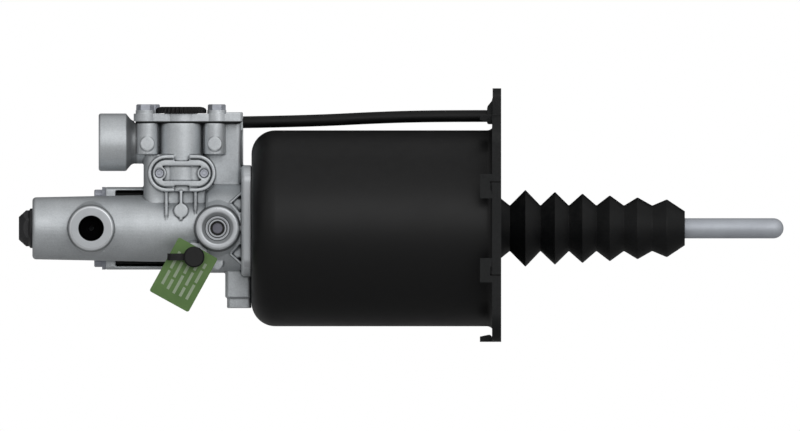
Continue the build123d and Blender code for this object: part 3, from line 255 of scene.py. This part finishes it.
def makeRelief():
    # masks from the mesh's own shape, for close merged meshes: painted shade in creases and hollows, from
    # pointiness and ambient occlusion, and painted highlight on ridges
    tree, given, result = newGroup(
        "relief", [("Gain", "Float", 1.0)], [("CreaseShade", "Float"), ("RidgeHighlight", "Float")]
    )
    settings, sockets = {"samples": reliefLook["samples"]}, {"Distance": reliefLook["reach"]}
    shape = addNode(tree, "NewGeometry").outputs["Pointiness"]
    openness = addNode(tree, "AmbientOcclusion", settings, sockets).outputs["AO"]
    creases = remap(tree, shape, *reliefLook["hollow"])
    hollow = calc(tree, "MAXIMUM", creases, remap(tree, openness, *reliefLook["shut"]))
    ridge = remap(tree, shape, *reliefLook["ridge"])
    tree.links.new(times(tree, hollow, given["Gain"], True), result["CreaseShade"])
    tree.links.new(times(tree, ridge, given["Gain"], True), result["RidgeHighlight"])
    return tree


dustLook = {"amount": 0.3, "upward": (0.1, 1.0), "scale": 140.0, "patch": (0.4, 0.75)}


def makeDust():
    # pale dust on what faces up, broken by noise
    tree, given, result = newGroup(
        "dust",
        [("Vector", "Vector", (0, 0, 0)), ("Amount", "Float", dustLook["amount"])],
        [("Mask", "Float")],
    )
    upward = remap(tree, split(tree, surfaceNormal(tree))["Z"], *dustLook["upward"])
    patch = remap(tree, noise(tree, given["Vector"], dustLook["scale"], 5.0, 0.65), *dustLook["patch"])
    mask = times(tree, times(tree, upward, patch), given["Amount"], True)
    tree.links.new(mask, result["Mask"])
    return tree


def makeTurning():
    # fine tool rings round X: give it a vector centred on the axis
    tree, given, result = newGroup(
        "turning", [("Vector", "Vector", (0, 0, 0)), ("Pitch", "Float", 2500.0)], [("Height", "Float")]
    )
    sockets = {"W": split(tree, given["Vector"])["X"], "Scale": given["Pitch"], "Detail": 2.0}
    lines = addNode(tree, "TexNoise", {"noise_dimensions": "1D"}, sockets)
    tree.links.new(lines.outputs["Fac"], result["Height"])
    return tree


softEdge = makeSoftEdge()
castGrain = makeCastGrain()
relief = makeRelief()
dust = makeDust()
turning = makeTurning()
print("effects ready")


def dusty(tree, coords, colour, look):
    fall = useGroup(tree, dust, {"Vector": coords, "Amount": look["dustAmount"]})
    return mixColour(tree, fall["Mask"], colour, look["dust"])


# ---- finishes

castLook = {
    # the near-black crease colour is painted shade; the pale ridge colour is a painted highlight on ridges
    # and sharp edges
    "dark": (0.48, 0.505, 0.525, 1), "light": (0.66, 0.69, 0.712, 1), "hollow": (0.045, 0.05, 0.056, 1),
    "ridge": (0.80, 0.83, 0.85, 1), "ridgeShare": 0.5, "edge": 0.5 * mm, "edgeHighlightShare": 0.35,
    "metallic": 0.6, "roughness": 0.47, "rougher": 0.08, "smoother": 0.06,
    "grainScale": 1300.0, "grainDepth": 0.10 * mm, "grainStrength": 0.55,
    # machined port faces: how far they face -Y and lie towards it, and how much finer they are
    "machined": (0.49, 0.51, 0.53, 1), "machinedFacing": -0.9, "machinedY": -23.3 * mm,
    "machinedSmoother": 0.14, "machinedGrain": 0.15,
    # painted shade on the neck of the air port
    "neck": (-204.8 * mm, -199.0 * mm), "neckAbove": 31 * mm, "neckShade": 0.75,
    # port rings: how softly they end, and their colours: painted shade, painted highlight and the painted
    # shade inside the oil port's hole
    "soft": 0.2 * mm, "paintedShade": (0.15, 0.155, 0.16, 1), "paintedHighlight": (0.80, 0.82, 0.84, 1),
    "paintedHoleShade": (0.002, 0.002, 0.0022, 1),
}
# rings round the two ports on the -Y side, painted shade in the oil port's hole, painted highlights on the
# lips and painted shade round them and in the test port's recess: centre, inner and outer radius, colour and
# its share
portRings = [
    (-223.5, 0.0, 6.9, "paintedHoleShade", 1.0), (-223.5, 11.3, 11.9, "paintedHighlight", 0.8), (-223.5, 12.4, 12.9, "paintedShade", 0.6),
    (-154.6, 6.6, 8.5, "paintedShade", 0.5), (-154.6, 9.2, 11.3, "paintedHighlight", 0.15), (-154.6, 11.8, 12.8, "paintedShade", 0.85),
]


def ringMask(tree, coords, centre, inner, outer):
    # 1 between two radii round an axis along Y, on the -Y side
    soft = castLook["soft"]
    flat = addNode(tree, "VectorMath", {"operation": "MULTIPLY"}, {0: coords, 1: (1, 0, 1)}).outputs[0]
    away = measure(tree, "DISTANCE", flat, (centre * mm, 0, 0))
    near = calc(tree, "LESS_THAN", split(tree, coords)["Y"], 0.0)
    mask = times(tree, remap(tree, away, outer * mm + soft, outer * mm), near)
    if inner:
        mask = times(tree, mask, remap(tree, away, inner * mm - soft, inner * mm))
    return mask


def portTints(tree, coords, place, colour):
    # painted shade on the neck of the air port, then painted shade in the oil port's hole, painted highlights
    # on the port lips and painted shade round them and in the test port's recess
    look = castLook
    metal = look["metallic"]
    left, right = look["neck"]
    neck = remap(tree, place["X"], left, left + mm)
    neck = times(tree, neck, remap(tree, place["X"], right + mm, right))
    neck = times(tree, neck, calc(tree, "GREATER_THAN", place["Z"], look["neckAbove"]))
    colour = tinted(tree, neck, look["neckShade"], colour, look["paintedShade"])
    for centre, inner, outer, tint, share in portRings:
        mask = ringMask(tree, coords, centre, inner, outer)
        colour = tinted(tree, mask, share, colour, look[tint])
        if tint == "paintedHoleShade":
            metal = remap(tree, mask, 0.0, 1.0, look["metallic"], 1.0)
    return colour, metal


def makeCastFinish(name, closeMesh):
    material, tree, coords = newFinish(name)
    look = castLook
    grain = useGroup(tree, castGrain, {"Vector": coords, "Scale": look["grainScale"]})
    colour = mixColour(tree, grain["Tone"], look["dark"], look["light"])
    if closeMesh:
        shape = useGroup(tree, relief, {"Gain": 1.0})
        # painted highlight on ridges, then painted shade in creases and hollows
        colour = tinted(tree, shape["RidgeHighlight"], look["ridgeShare"], colour, look["ridge"])
        colour = mixColour(tree, shape["CreaseShade"], colour, look["hollow"])
        normal = surfaceNormal(tree)
    else:
        # painted highlight on sharp edges
        edge = useGroup(tree, softEdge, {"Radius": look["edge"]})
        colour = tinted(tree, edge["Edge"], look["edgeHighlightShare"], colour, look["ridge"])
        normal = edge["Normal"]
    place = split(tree, coords)
    turned = calc(tree, "LESS_THAN", split(tree, surfaceNormal(tree))["Y"], look["machinedFacing"])
    cut = times(tree, turned, calc(tree, "LESS_THAN", place["Y"], look["machinedY"]))
    colour = mixColour(tree, cut, colour, look["machined"])
    metal = look["metallic"]
    if closeMesh:
        colour, metal = portTints(tree, coords, place, colour)
    rough = look["roughness"]
    rough = remap(tree, grain["Tone"], 0.0, 1.0, rough + look["rougher"], rough - look["smoother"])
    rough = calc(tree, "SUBTRACT", rough, times(tree, cut, look["machinedSmoother"]))
    height = times(tree, grain["Height"], remap(tree, cut, 0.0, 1.0, 1.0, look["machinedGrain"]))
    return closeFinish(material, tree, {
        "Base Color": colour, "Metallic": metal, "Roughness": rough,
        "Normal": bump(tree, height, look["grainStrength"], look["grainDepth"], normal),
    })


paintLook = {
    "colour": (0.0075, 0.0075, 0.0078, 1), "paintedEdgeHighlight": (0.016, 0.016, 0.017, 1), "paintedEdgeShare": 0.5,
    "edge": 0.5 * mm, "roughness": 0.42, "specular": 0.24, "dustAmount": 0.05, "dust": (0.09, 0.09, 0.088, 1),
    "peelScale": 420.0, "peelStrength": 0.18, "peelDepth": 0.05 * mm, "cloudScale": 14.0,
}


def makePaintFinish():
    look = paintLook
    material, tree, coords = newFinish("shellPaint")
    edge = useGroup(tree, softEdge, {"Radius": look["edge"]})
    peel = noise(tree, coords, look["peelScale"], 2.0, 0.5)
    cloud = noise(tree, coords, look["cloudScale"], 4.0, 0.6)
    # paler on sharp edges: painted edge highlight
    colour = tinted(tree, edge["Edge"], look["paintedEdgeShare"], look["colour"], look["paintedEdgeHighlight"])
    colour = dusty(tree, coords, colour, look)
    return closeFinish(material, tree, {
        "Base Color": colour, "Specular IOR Level": look["specular"],
        "Roughness": uneven(tree, cloud, look["roughness"], 0.05, 0.07),
        "Normal": bump(tree, peel, look["peelStrength"], look["peelDepth"], edge["Normal"]),
    })


plasticLook = {
    "edge": 0.35 * mm, "paintedEdgeShare": 0.7, "specular": 0.25, "dustAmount": 0.06, "dust": (0.12, 0.12, 0.115, 1),
    "strength": 0.35, "depth": 0.05 * mm,
}


def makePlasticFinish(name, colour, paintedEdgeHighlight, roughness, texture):
    # moulded plastic with a fine spark-eroded texture
    look = plasticLook
    material, tree, coords = newFinish(name)
    edge = useGroup(tree, softEdge, {"Radius": look["edge"]})
    fine = noise(tree, coords, texture, 3.0, 0.6)
    # paler on sharp edges: painted edge highlight
    tone = tinted(tree, edge["Edge"], look["paintedEdgeShare"], colour, paintedEdgeHighlight)
    tone = dusty(tree, coords, tone, look)
    return closeFinish(material, tree, {
        "Base Color": tone, "Specular IOR Level": look["specular"],
        "Roughness": uneven(tree, fine, roughness, 0.06, 0.08),
        "Normal": bump(tree, fine, look["strength"], look["depth"], edge["Normal"]),
    })


rubberLook = {
    "grainScale": 900.0, "bloomScale": 70.0, "bloom": (0.45, 0.8, 0.0, 0.25), "chalk": grey(0.02),
    "specular": 0.24, "dustAmount": 0.05, "dust": (0.13, 0.125, 0.12, 1),
    "strength": 0.25, "depth": 0.04 * mm,
}


def makeRubberFinish(name, colour, roughness):
    # soft black rubber, a little chalky on top
    look = rubberLook
    material, tree, coords = newFinish(name)
    fine = noise(tree, coords, look["grainScale"], 3.0, 0.6)
    bloom = noise(tree, coords, look["bloomScale"], 5.0, 0.7)
    tone = mixColour(tree, remap(tree, bloom, *look["bloom"]), colour, look["chalk"])
    tone = dusty(tree, coords, tone, look)
    return closeFinish(material, tree, {
        "Base Color": tone, "Specular IOR Level": look["specular"],
        "Roughness": uneven(tree, bloom, roughness, 0.06, 0.08),
        "Normal": bump(tree, fine, look["strength"], look["depth"]),
    })


steelLook = {
    "edge": 0.25 * mm, "shine": grey(0.8), "groove": grey(0.03), "smudgeScale": 80.0, "smudge": (0.35, 0.7),
    "strength": 0.2, "depth": 0.02 * mm,
}


def makeSteelFinish(name, dark, light, roughness, pitch, metallic=1.0, edgeShine=0.5, groove=None):
    # turned or rolled steel with fine rings along X and light smudges, a painted highlight on sharp edges and
    # painted shade in a groove; the groove is a ring for ringMask
    look = steelLook
    material, tree, coords = newFinish(name)
    edge = useGroup(tree, softEdge, {"Radius": look["edge"]})
    rings = useGroup(tree, turning, {"Vector": coords, "Pitch": pitch})
    smudge = noise(tree, coords, look["smudgeScale"], 4.0, 0.6)
    tone = mixColour(tree, remap(tree, smudge, *look["smudge"]), light, dark)
    # painted highlight on sharp edges
    tone = tinted(tree, edge["Edge"], edgeShine, tone, look["shine"])
    if groove:
        # painted shade in the groove
        tone = mixColour(tree, ringMask(tree, coords, *groove), tone, look["groove"])
    return closeFinish(material, tree, {
        "Base Color": tone, "Metallic": metallic, "Roughness": uneven(tree, smudge, roughness, 0.03, 0.05),
        "Normal": bump(tree, rings["Height"], look["strength"], look["depth"], edge["Normal"]),
    })


fibreLook = {"roughness": 0.85, "strands": (0.35, 0.65), "strength": 0.6, "depth": 0.1 * mm}


def makeFibreFinish(name, colour, dark, scale):
    # gasket paper and wire mesh
    look = fibreLook
    material, tree, coords = newFinish(name)
    fibre = noise(tree, coords, scale, 6.0, 0.75)
    return closeFinish(material, tree, {
        "Base Color": mixColour(tree, remap(tree, fibre, *look["strands"]), dark, colour),
        "Roughness": look["roughness"], "Normal": bump(tree, fibre, look["strength"], look["depth"]),
    })


tagLook = {
    "colour": (0.14, 0.245, 0.078, 1), "dark": (0.10, 0.19, 0.056, 1), "bars": (0.33, 0.41, 0.28, 1),
    "edge": 0.2 * mm, "cloudScale": 60.0, "cloud": (0.35, 0.7), "roughness": 0.5, "specular": 0.3,
    "grainScale": 500.0, "strength": 0.2, "depth": 0.04 * mm,
}


def makeTagFinish(name, colour, dark):
    look = tagLook
    material, tree, coords = newFinish(name)
    edge = useGroup(tree, softEdge, {"Radius": look["edge"]})
    cloud = noise(tree, coords, look["cloudScale"], 4.0, 0.6)
    grain = noise(tree, coords, look["grainScale"])
    return closeFinish(material, tree, {
        "Base Color": mixColour(tree, remap(tree, cloud, *look["cloud"]), colour, dark),
        "Roughness": look["roughness"], "Specular IOR Level": look["specular"],
        "Normal": bump(tree, grain, look["strength"], look["depth"], edge["Normal"]),
    })


castClose = makeCastFinish("castAluminium", True)
castPlain = makeCastFinish("castAluminiumCover", False)
shellPaint = makePaintFinish()
blackPlastic = makePlasticFinish(
    "blackPlastic", (0.0065, 0.0072, 0.0076, 1), (0.03, 0.032, 0.034, 1), 0.5, 800.0
)
capPlastic = makePlasticFinish("capPlastic", (0.003, 0.003, 0.0033, 1), grey(0.02), 0.34, 1000.0)
plugPlastic = makePlasticFinish("plugPlastic", (0.036, 0.036, 0.038, 1), grey(0.09), 0.36, 900.0)
# near-black finish for the painted shade in the cover slits
slitShade = makePlasticFinish("slitShade", grey(0.001), grey(0.001), 0.7, 800.0)
bootRubber = makeRubberFinish("bootRubber", (0.002, 0.0023, 0.0026, 1), 0.5)
hoseRubber = makeRubberFinish("hoseRubber", (0.003, 0.0032, 0.0034, 1), 0.48)
sealRubber = makeRubberFinish("sealRubber", grey(0.012), 0.4)
rodSteel = makeSteelFinish("rodSteel", (0.47, 0.495, 0.54, 1), (0.52, 0.55, 0.595, 1), 0.56, 3000.0, 0.5)
zincSteel = makeSteelFinish(
    "zincSteel", (0.41, 0.43, 0.48, 1), (0.52, 0.54, 0.60, 1), 0.48, 1500.0, 0.6, 0.3
)
sleeveSteel = makeSteelFinish(
    "sleeveSteel", (0.40, 0.42, 0.44, 1), (0.50, 0.52, 0.545, 1), 0.48, 1500.0, 0.6, 0.3, (-154.6, 4.95, 5.2)
)
pinSteel = makeSteelFinish("pinSteel", (0.10, 0.10, 0.12, 1), (0.17, 0.17, 0.20, 1), 0.4, 1500.0, 0.8, 0.2)
plainSteel = makeSteelFinish("plainSteel", (0.30, 0.30, 0.31, 1), (0.46, 0.46, 0.47, 1), 0.36, 2200.0)
springSteel = makeSteelFinish("springSteel", (0.10, 0.10, 0.11, 1), (0.22, 0.22, 0.23, 1), 0.4, 900.0)
bushBronze = makeSteelFinish("bushBronze", (0.42, 0.25, 0.10, 1), (0.55, 0.34, 0.15, 1), 0.4, 2600.0)
gasketPaper = makeFibreFinish("gasketPaper", (0.014, 0.015, 0.016, 1), (0.006, 0.006, 0.007, 1), 900.0)
filterMesh = makeFibreFinish("filterMesh", (0.25, 0.25, 0.24, 1), grey(0.08), 1600.0)
tagPlastic = makeTagFinish("tagPlastic", tagLook["colour"], tagLook["dark"])
tagBarInk = makeTagFinish("tagBarInk", tagLook["bars"], tagLook["bars"])
print("finishes ready")

nodeFinishes = [
    (castClose, ["valve_housing"]),
    (castPlain, ["valve_cover", "air_piston"]),
    (shellPaint, ["air_cylinder"]),
    (blackPlastic, ["end_cover"]),
    (capPlastic, ["exhaust_cap", "sensor_body", "piston_guide_ring"]),
    (plugPlastic, ["nose_plug"]),
    (bootRubber, ["boot"]),
    (hoseRubber, ["vent_hose"]),
    (sealRubber, ["nose_plug_seal", "test_port_seal", "bleeder_cap", "relay_seal", "plunger_seal"]),
    (sealRubber, ["cylinder_seal", "piston_seal"]),
    (rodSteel, ["plunger", "push_rod"]),
    (zincSteel, ["cover_bolts", "seat_pins", "bleeder_screw", "sensor_end_plate", "sensor_screws"]),
    (zincSteel, ["cylinder_screws", "hose_nipple"]),
    (sleeveSteel, ["test_port_sleeve"]),
    (pinSteel, ["test_port_pin"]),
    (plainSteel, ["relay_piston", "poppet", "seal_retainer", "piston_nut"]),
    (springSteel, ["test_port_spring", "relay_spring", "poppet_spring", "preload_spring"]),
    (bushBronze, ["valve_seat", "plunger_bush"]),
    (gasketPaper, ["cover_gasket"]),
    (filterMesh, ["exhaust_filter", "inlet_strainer"]),
    (tagPlastic, ["fluid_tag"]),
]
for material, names in nodeFinishes:
    for name in names:
        dress(nodes[name].data, material)


# ---- pieces

def keepPiece(name, mesh, material, body, replaced=(), smooth=True):
    dress(mesh, material)
    mesh.polygons.foreach_set("use_smooth", [smooth] * len(mesh.polygons))
    piece = placeObject(name, mesh)
    if body:
        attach(piece, body)
    if replaced:
        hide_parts(*replaced)
    return piece


castBody = {"voxel": 0.42 * mm, "softness": 0.5, "smoothing": 2, "share": 0.22}


def makeCastBody():
    # the casting, poured: every edge and corner gets the soft radius of a die
    bm = bmesh.new()
    bm.from_mesh(nodes["valve_housing"].data)
    work = placeObject("castWork", closedMesh(bm, "castSource"))
    remesh = work.modifiers.new("pour", "REMESH")
    remesh.mode = "VOXEL"
    remesh.voxel_size = castBody["voxel"]
    smooth = work.modifiers.new("soften", "SMOOTH")
    smooth.factor = castBody["softness"]
    smooth.iterations = castBody["smoothing"]
    thin = work.modifiers.new("thin", "DECIMATE")
    thin.ratio = castBody["share"]
    depsgraph = bpy.context.evaluated_depsgraph_get()
    poured = bpy.data.meshes.new_from_object(work.evaluated_get(depsgraph))
    poured.name = "castBody"
    bpy.data.objects.remove(work)
    print("cast body:", len(poured.polygons), "faces")
    return keepPiece("castBody", poured, castClose, "housing", ["valve_housing"])


boot = {
    "steps": 96, "wall": 1.6, "round": 0.45, "sharp": 28, "neck": 13.0, "lip": 15.6,
    "start": (0.0, 16.2), "end": (100.1, 9.3), "valleyRadius": 12.4,
    "valleys": [4.7, 21.4, 36.9, 51.9, 66.9, 82.3],
    "peaks": [(13.2, 21.0), (29.3, 19.9), (44.3, 19.0), (59.2, 18.0), (74.3, 16.9), (90.3, 15.8)],
    "grip": 5.6, "gripLength": 7.0, "plate": -2.0, "seat": -1.0,
}


def makeBoot():
    folds = []
    for x, peak in zip(boot["valleys"], boot["peaks"]):
        folds += [(x, boot["valleyRadius"]), peak]
    wall, neck, lip = boot["wall"], boot["neck"], boot["lip"]
    plate, seat = boot["plate"], boot["seat"]
    endX = boot["end"][0]
    base = [(plate - wall, neck - wall), (plate - wall, lip), (plate, lip), (plate, neck)]
    base += [(seat, neck), (seat, boot["start"][1])]
    outer = [boot["start"]] + folds + [boot["end"]]
    tail = [(endX, boot["grip"]), (endX - boot["gripLength"], boot["grip"])]
    inner = [(x, r - wall) for x, r in reversed(folds)]
    bm = bmesh.new()
    verts = [bm.verts.new((x * mm, 0, r * mm)) for x, r in base + outer + tail + inner]
    for here, there in zip(verts, verts[1:] + verts[:1]):
        bm.edges.new((here, there))
    first = len(base) + 1
    bent = verts[first:first + len(folds)] + verts[-len(inner):]
    bmesh.ops.bevel(
        bm, geom=bent, offset=boot["round"] * mm, offset_type="OFFSET", segments=2, profile=0.5,
        affect="VERTICES", material=-1,
    )
    bmesh.ops.spin(
        bm, geom=bm.verts[:] + bm.edges[:], cent=(0, 0, 0), axis=(1, 0, 0), angle=2 * pi,
        steps=boot["steps"], use_merge=True,
    )
    mesh = closedMesh(bm, "bootFolds")
    piece = keepPiece("bootFolds", mesh, bootRubber, None, ["boot"])
    piece.data.set_sharp_from_angle(angle=radians(boot["sharp"]))
    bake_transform(piece)
    return piece


hose = {
    "points": [(-140.7, 57.8), (-105.0, 58.4), (-64.4, 60.5), (-34.0, 61.2), (-5.0, 61.2)],
    "side": 4.0, "radius": 3.25, "length": 135.7,
}


def makeHose():
    # the vent hose, one smooth line from the cover plate to the socket on the ear
    line = bpy.data.curves.new("ventHose", "CURVE")
    line.dimensions = "3D"
    line.bevel_depth = hose["radius"] * mm
    line.bevel_resolution = 6
    line.resolution_u = 16
    line.use_fill_caps = True
    spline = line.splines.new("NURBS")
    spline.points.add(len(hose["points"]) - 1)
    for point, (x, z) in zip(spline.points, hose["points"]):
        point.co = (x * mm, hose["side"] * mm, z * mm, 1)
    spline.order_u = 3
    spline.use_endpoint_u = True
    line.materials.append(hoseRubber)
    piece = placeObject("ventHose", line)
    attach(piece, "housing")
    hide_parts("vent_hose")
    x, z = hose["points"][0]
    return piece


cap = {
    "centre": (-174.5, -6.5), "ribs": 36, "ribDepth": 0.6,
    # radius, height, ribbed
    "rows": [
        (12.7, 64.9, False), (12.7, 62.65, False), (13.9, 62.65, True), (13.9, 64.5, True),
        (13.3, 65.4, True), (12.0, 66.0, True), (10.4, 66.25, False),
    ],
}


def makeExhaustCap():
    # domed cap on the cover, with upright ribs round its rim
    bm = bmesh.new()
    count = 4 * cap["ribs"]
    x, y = cap["centre"]
    rows = []
    for radius, height, ribbed in cap["rows"]:
        row = []
        for i in range(count):
            between = ribbed and i % 4 in (1, 2)
            reach = radius - (cap["ribDepth"] if between else 0.0)
            angle = 2 * pi * i / count
            row.append(bm.verts.new(Vector((x + reach * cos(angle), y + reach * sin(angle), height)) * mm))
        rows.append(row)
    for low, high in zip(rows, rows[1:]):
        for i in range(count):
            j = (i + 1) % count
            bm.faces.new((low[i], low[j], high[j], high[i]))
    bm.faces.new(rows[0])
    bm.faces.new(rows[-1])
    mesh = closedMesh(bm, "ribbedCap")
    return keepPiece("ribbedCap", mesh, capPlastic, "housing", ["exhaust_cap"], smooth=False)


slits = {
    "front": -61.9, "proud": 0.06, "width": 0.85, "left": -5.6, "right": -0.3, "high": 25.4, "low": 20.7,
}


def makeCoverSlits():
    # near-black strips as painted shade in the slits that let the cover's two near hooks bend
    bm = bmesh.new()
    half = slits["width"] / 2
    for side in (-1, 1):
        high, low = side * slits["high"], side * slits["low"]
        upright = (slits["left"] - half, slits["left"] + half, low, high)
        level = (slits["left"] - half, slits["right"], high - half, high + half)
        for x0, x1, z0, z1 in (upright, level):
            size = (x1 - x0, 2 * slits["proud"], abs(z1 - z0))
            addBox(bm, size, ((x0 + x1) / 2, slits["front"], (z0 + z1) / 2))
    mesh = closedMesh(bm, "coverSlits")
    return keepPiece("coverSlits", mesh, slitShade, "housing", smooth=False)


tag = {
    "centre": (-173.1, -25.6, -25.3), "turn": 28.9, "thick": 0.9, "proud": 0.12,
    "height": 1.6, "rowGap": 3.9, "gap": 1.3,
    "rows": [[8.5, 6.0, 3.0], [6.0, 9.5, 4.0], [11.0, 5.0, 4.5], [5.5, 8.0, 6.5], [9.0, 7.5, 3.0]],
}


def makeTagBars():
    # rows of plain pale bars on the tag's face, along its long edges
    bm = bmesh.new()
    count = len(tag["rows"])
    for row, widths in enumerate(tag["rows"]):
        across = (row - (count - 1) / 2) * tag["rowGap"]
        place = -(sum(widths) + tag["gap"] * (len(widths) - 1)) / 2
        for width in widths:
            addBox(bm, (tag["height"], tag["proud"] * 2, width), (across, 0, place + width / 2))
            place += width + tag["gap"]
    x, y, z = tag["centre"]
    turn = Matrix.Rotation(radians(tag["turn"]), 4, "Y")
    face = Matrix.Translation(Vector((x, y - tag["thick"], z)) * mm)
    bmesh.ops.transform(bm, matrix=face @ turn, verts=bm.verts)
    mesh = closedMesh(bm, "tagBars")
    return keepPiece("tagBars", mesh, tagBarInk, "housing", smooth=False)


makeHose()
makeCastBody()
makeBoot()
makeExhaustCap()
makeCoverSlits()
makeTagBars()
print("pieces ready")


# ---- studio

studio = {
    "across": 0.436, "lookAt": (-0.05515, 0.0, 0.00698), "distance": 1.2,
    "glowFrom": (0.38, -0.88, 0.28), "glowRange": (-0.4, 1.0), "glow": (0.01, 1.0),
    "floorHeight": -0.125, "floorSize": 8.0, "floorTones": (0.86, 0.82), "floorBounce": 0.55,
    "floorSpecks": 30.0, "floorRoughness": 0.9, "floorSpecular": 0.1,
}


def makeCamera():
    scene = bpy.context.scene
    scene.view_settings.view_transform = "Standard"
    eye = bpy.data.cameras.new("photoCamera")
    eye.type = "ORTHO"
    eye.ortho_scale = studio["across"]
    camera = placeObject("photoCamera", eye)
    x, y, z = studio["lookAt"]
    camera.location = (x, y - studio["distance"], z)
    camera.rotation_euler = (radians(90), 0, 0)
    scene.camera = camera


def makeSky():
    # a soft glow from the front, the right and above, fading to the left and below
    world = bpy.data.worlds.new("studioWorld")
    world.use_nodes = True
    bpy.context.scene.world = world
    tree = world.node_tree
    tree.nodes.clear()
    path = addNode(tree, "LightPath").outputs
    seen = calc(tree, "MAXIMUM", path["Is Camera Ray"], path["Is Transmission Ray"])
    way = addNode(tree, "TexCoord").outputs["Generated"]
    glow = measure(tree, "DOT_PRODUCT", way, studio["glowFrom"])
    level = remap(tree, glow, *studio["glowRange"], *studio["glow"])
    level = calc(tree, "MAXIMUM", level, seen)
    light = addNode(tree, "Background", {}, {"Color": grey(1.0), "Strength": level})
    addNode(tree, "OutputWorld", {}, {"Surface": light.outputs[0]})


def makeFloor():
    bm = bmesh.new()
    bmesh.ops.create_grid(bm, x_segments=1, y_segments=1, size=studio["floorSize"] / 2)
    bmesh.ops.translate(bm, vec=(0, 0, studio["floorHeight"]), verts=bm.verts)
    mesh = meshFrom(bm, "floor")
    material, tree, coords = newFinish("paleFloor")
    light, dark = studio["floorTones"]
    speck = remap(tree, noise(tree, coords, studio["floorSpecks"], 4.0, 0.6), 0.3, 0.7)
    colour = mixColour(tree, speck, grey(light), grey(dark))
    seen = addNode(tree, "LightPath").outputs["Is Camera Ray"]
    colour = mixColour(tree, seen, grey(studio["floorBounce"]), colour)
    closeFinish(material, tree, {
        "Base Color": colour, "Roughness": studio["floorRoughness"],
        "Specular IOR Level": studio["floorSpecular"],
    })
    mesh.materials.append(material)
    floor = placeObject("floor", mesh)


lamps = {
    "keyLamp": {"at": (0.35, -1.5, 0.55), "size": 0.9, "power": 4.4},
    "sideLamp": {"at": (-1.1, -0.9, 0.35), "size": 0.6, "power": 0.4},
    "topLamp": {"at": (-0.1, 0.5, 1.3), "size": 1.0, "power": 0.6},
}


def makeLamps():
    target = Vector(studio["lookAt"])
    for name, lamp in lamps.items():
        light = bpy.data.lights.new(name, "AREA")
        light.shape = "SQUARE"
        light.size = lamp["size"]
        light.energy = lamp["power"]
        holder = placeObject(name, light)
        holder.location = lamp["at"]
        holder.rotation_euler = (target - Vector(lamp["at"])).to_track_quat("-Z", "Y").to_euler()


makeCamera()
makeSky()
makeFloor()
makeLamps()
print("studio ready")
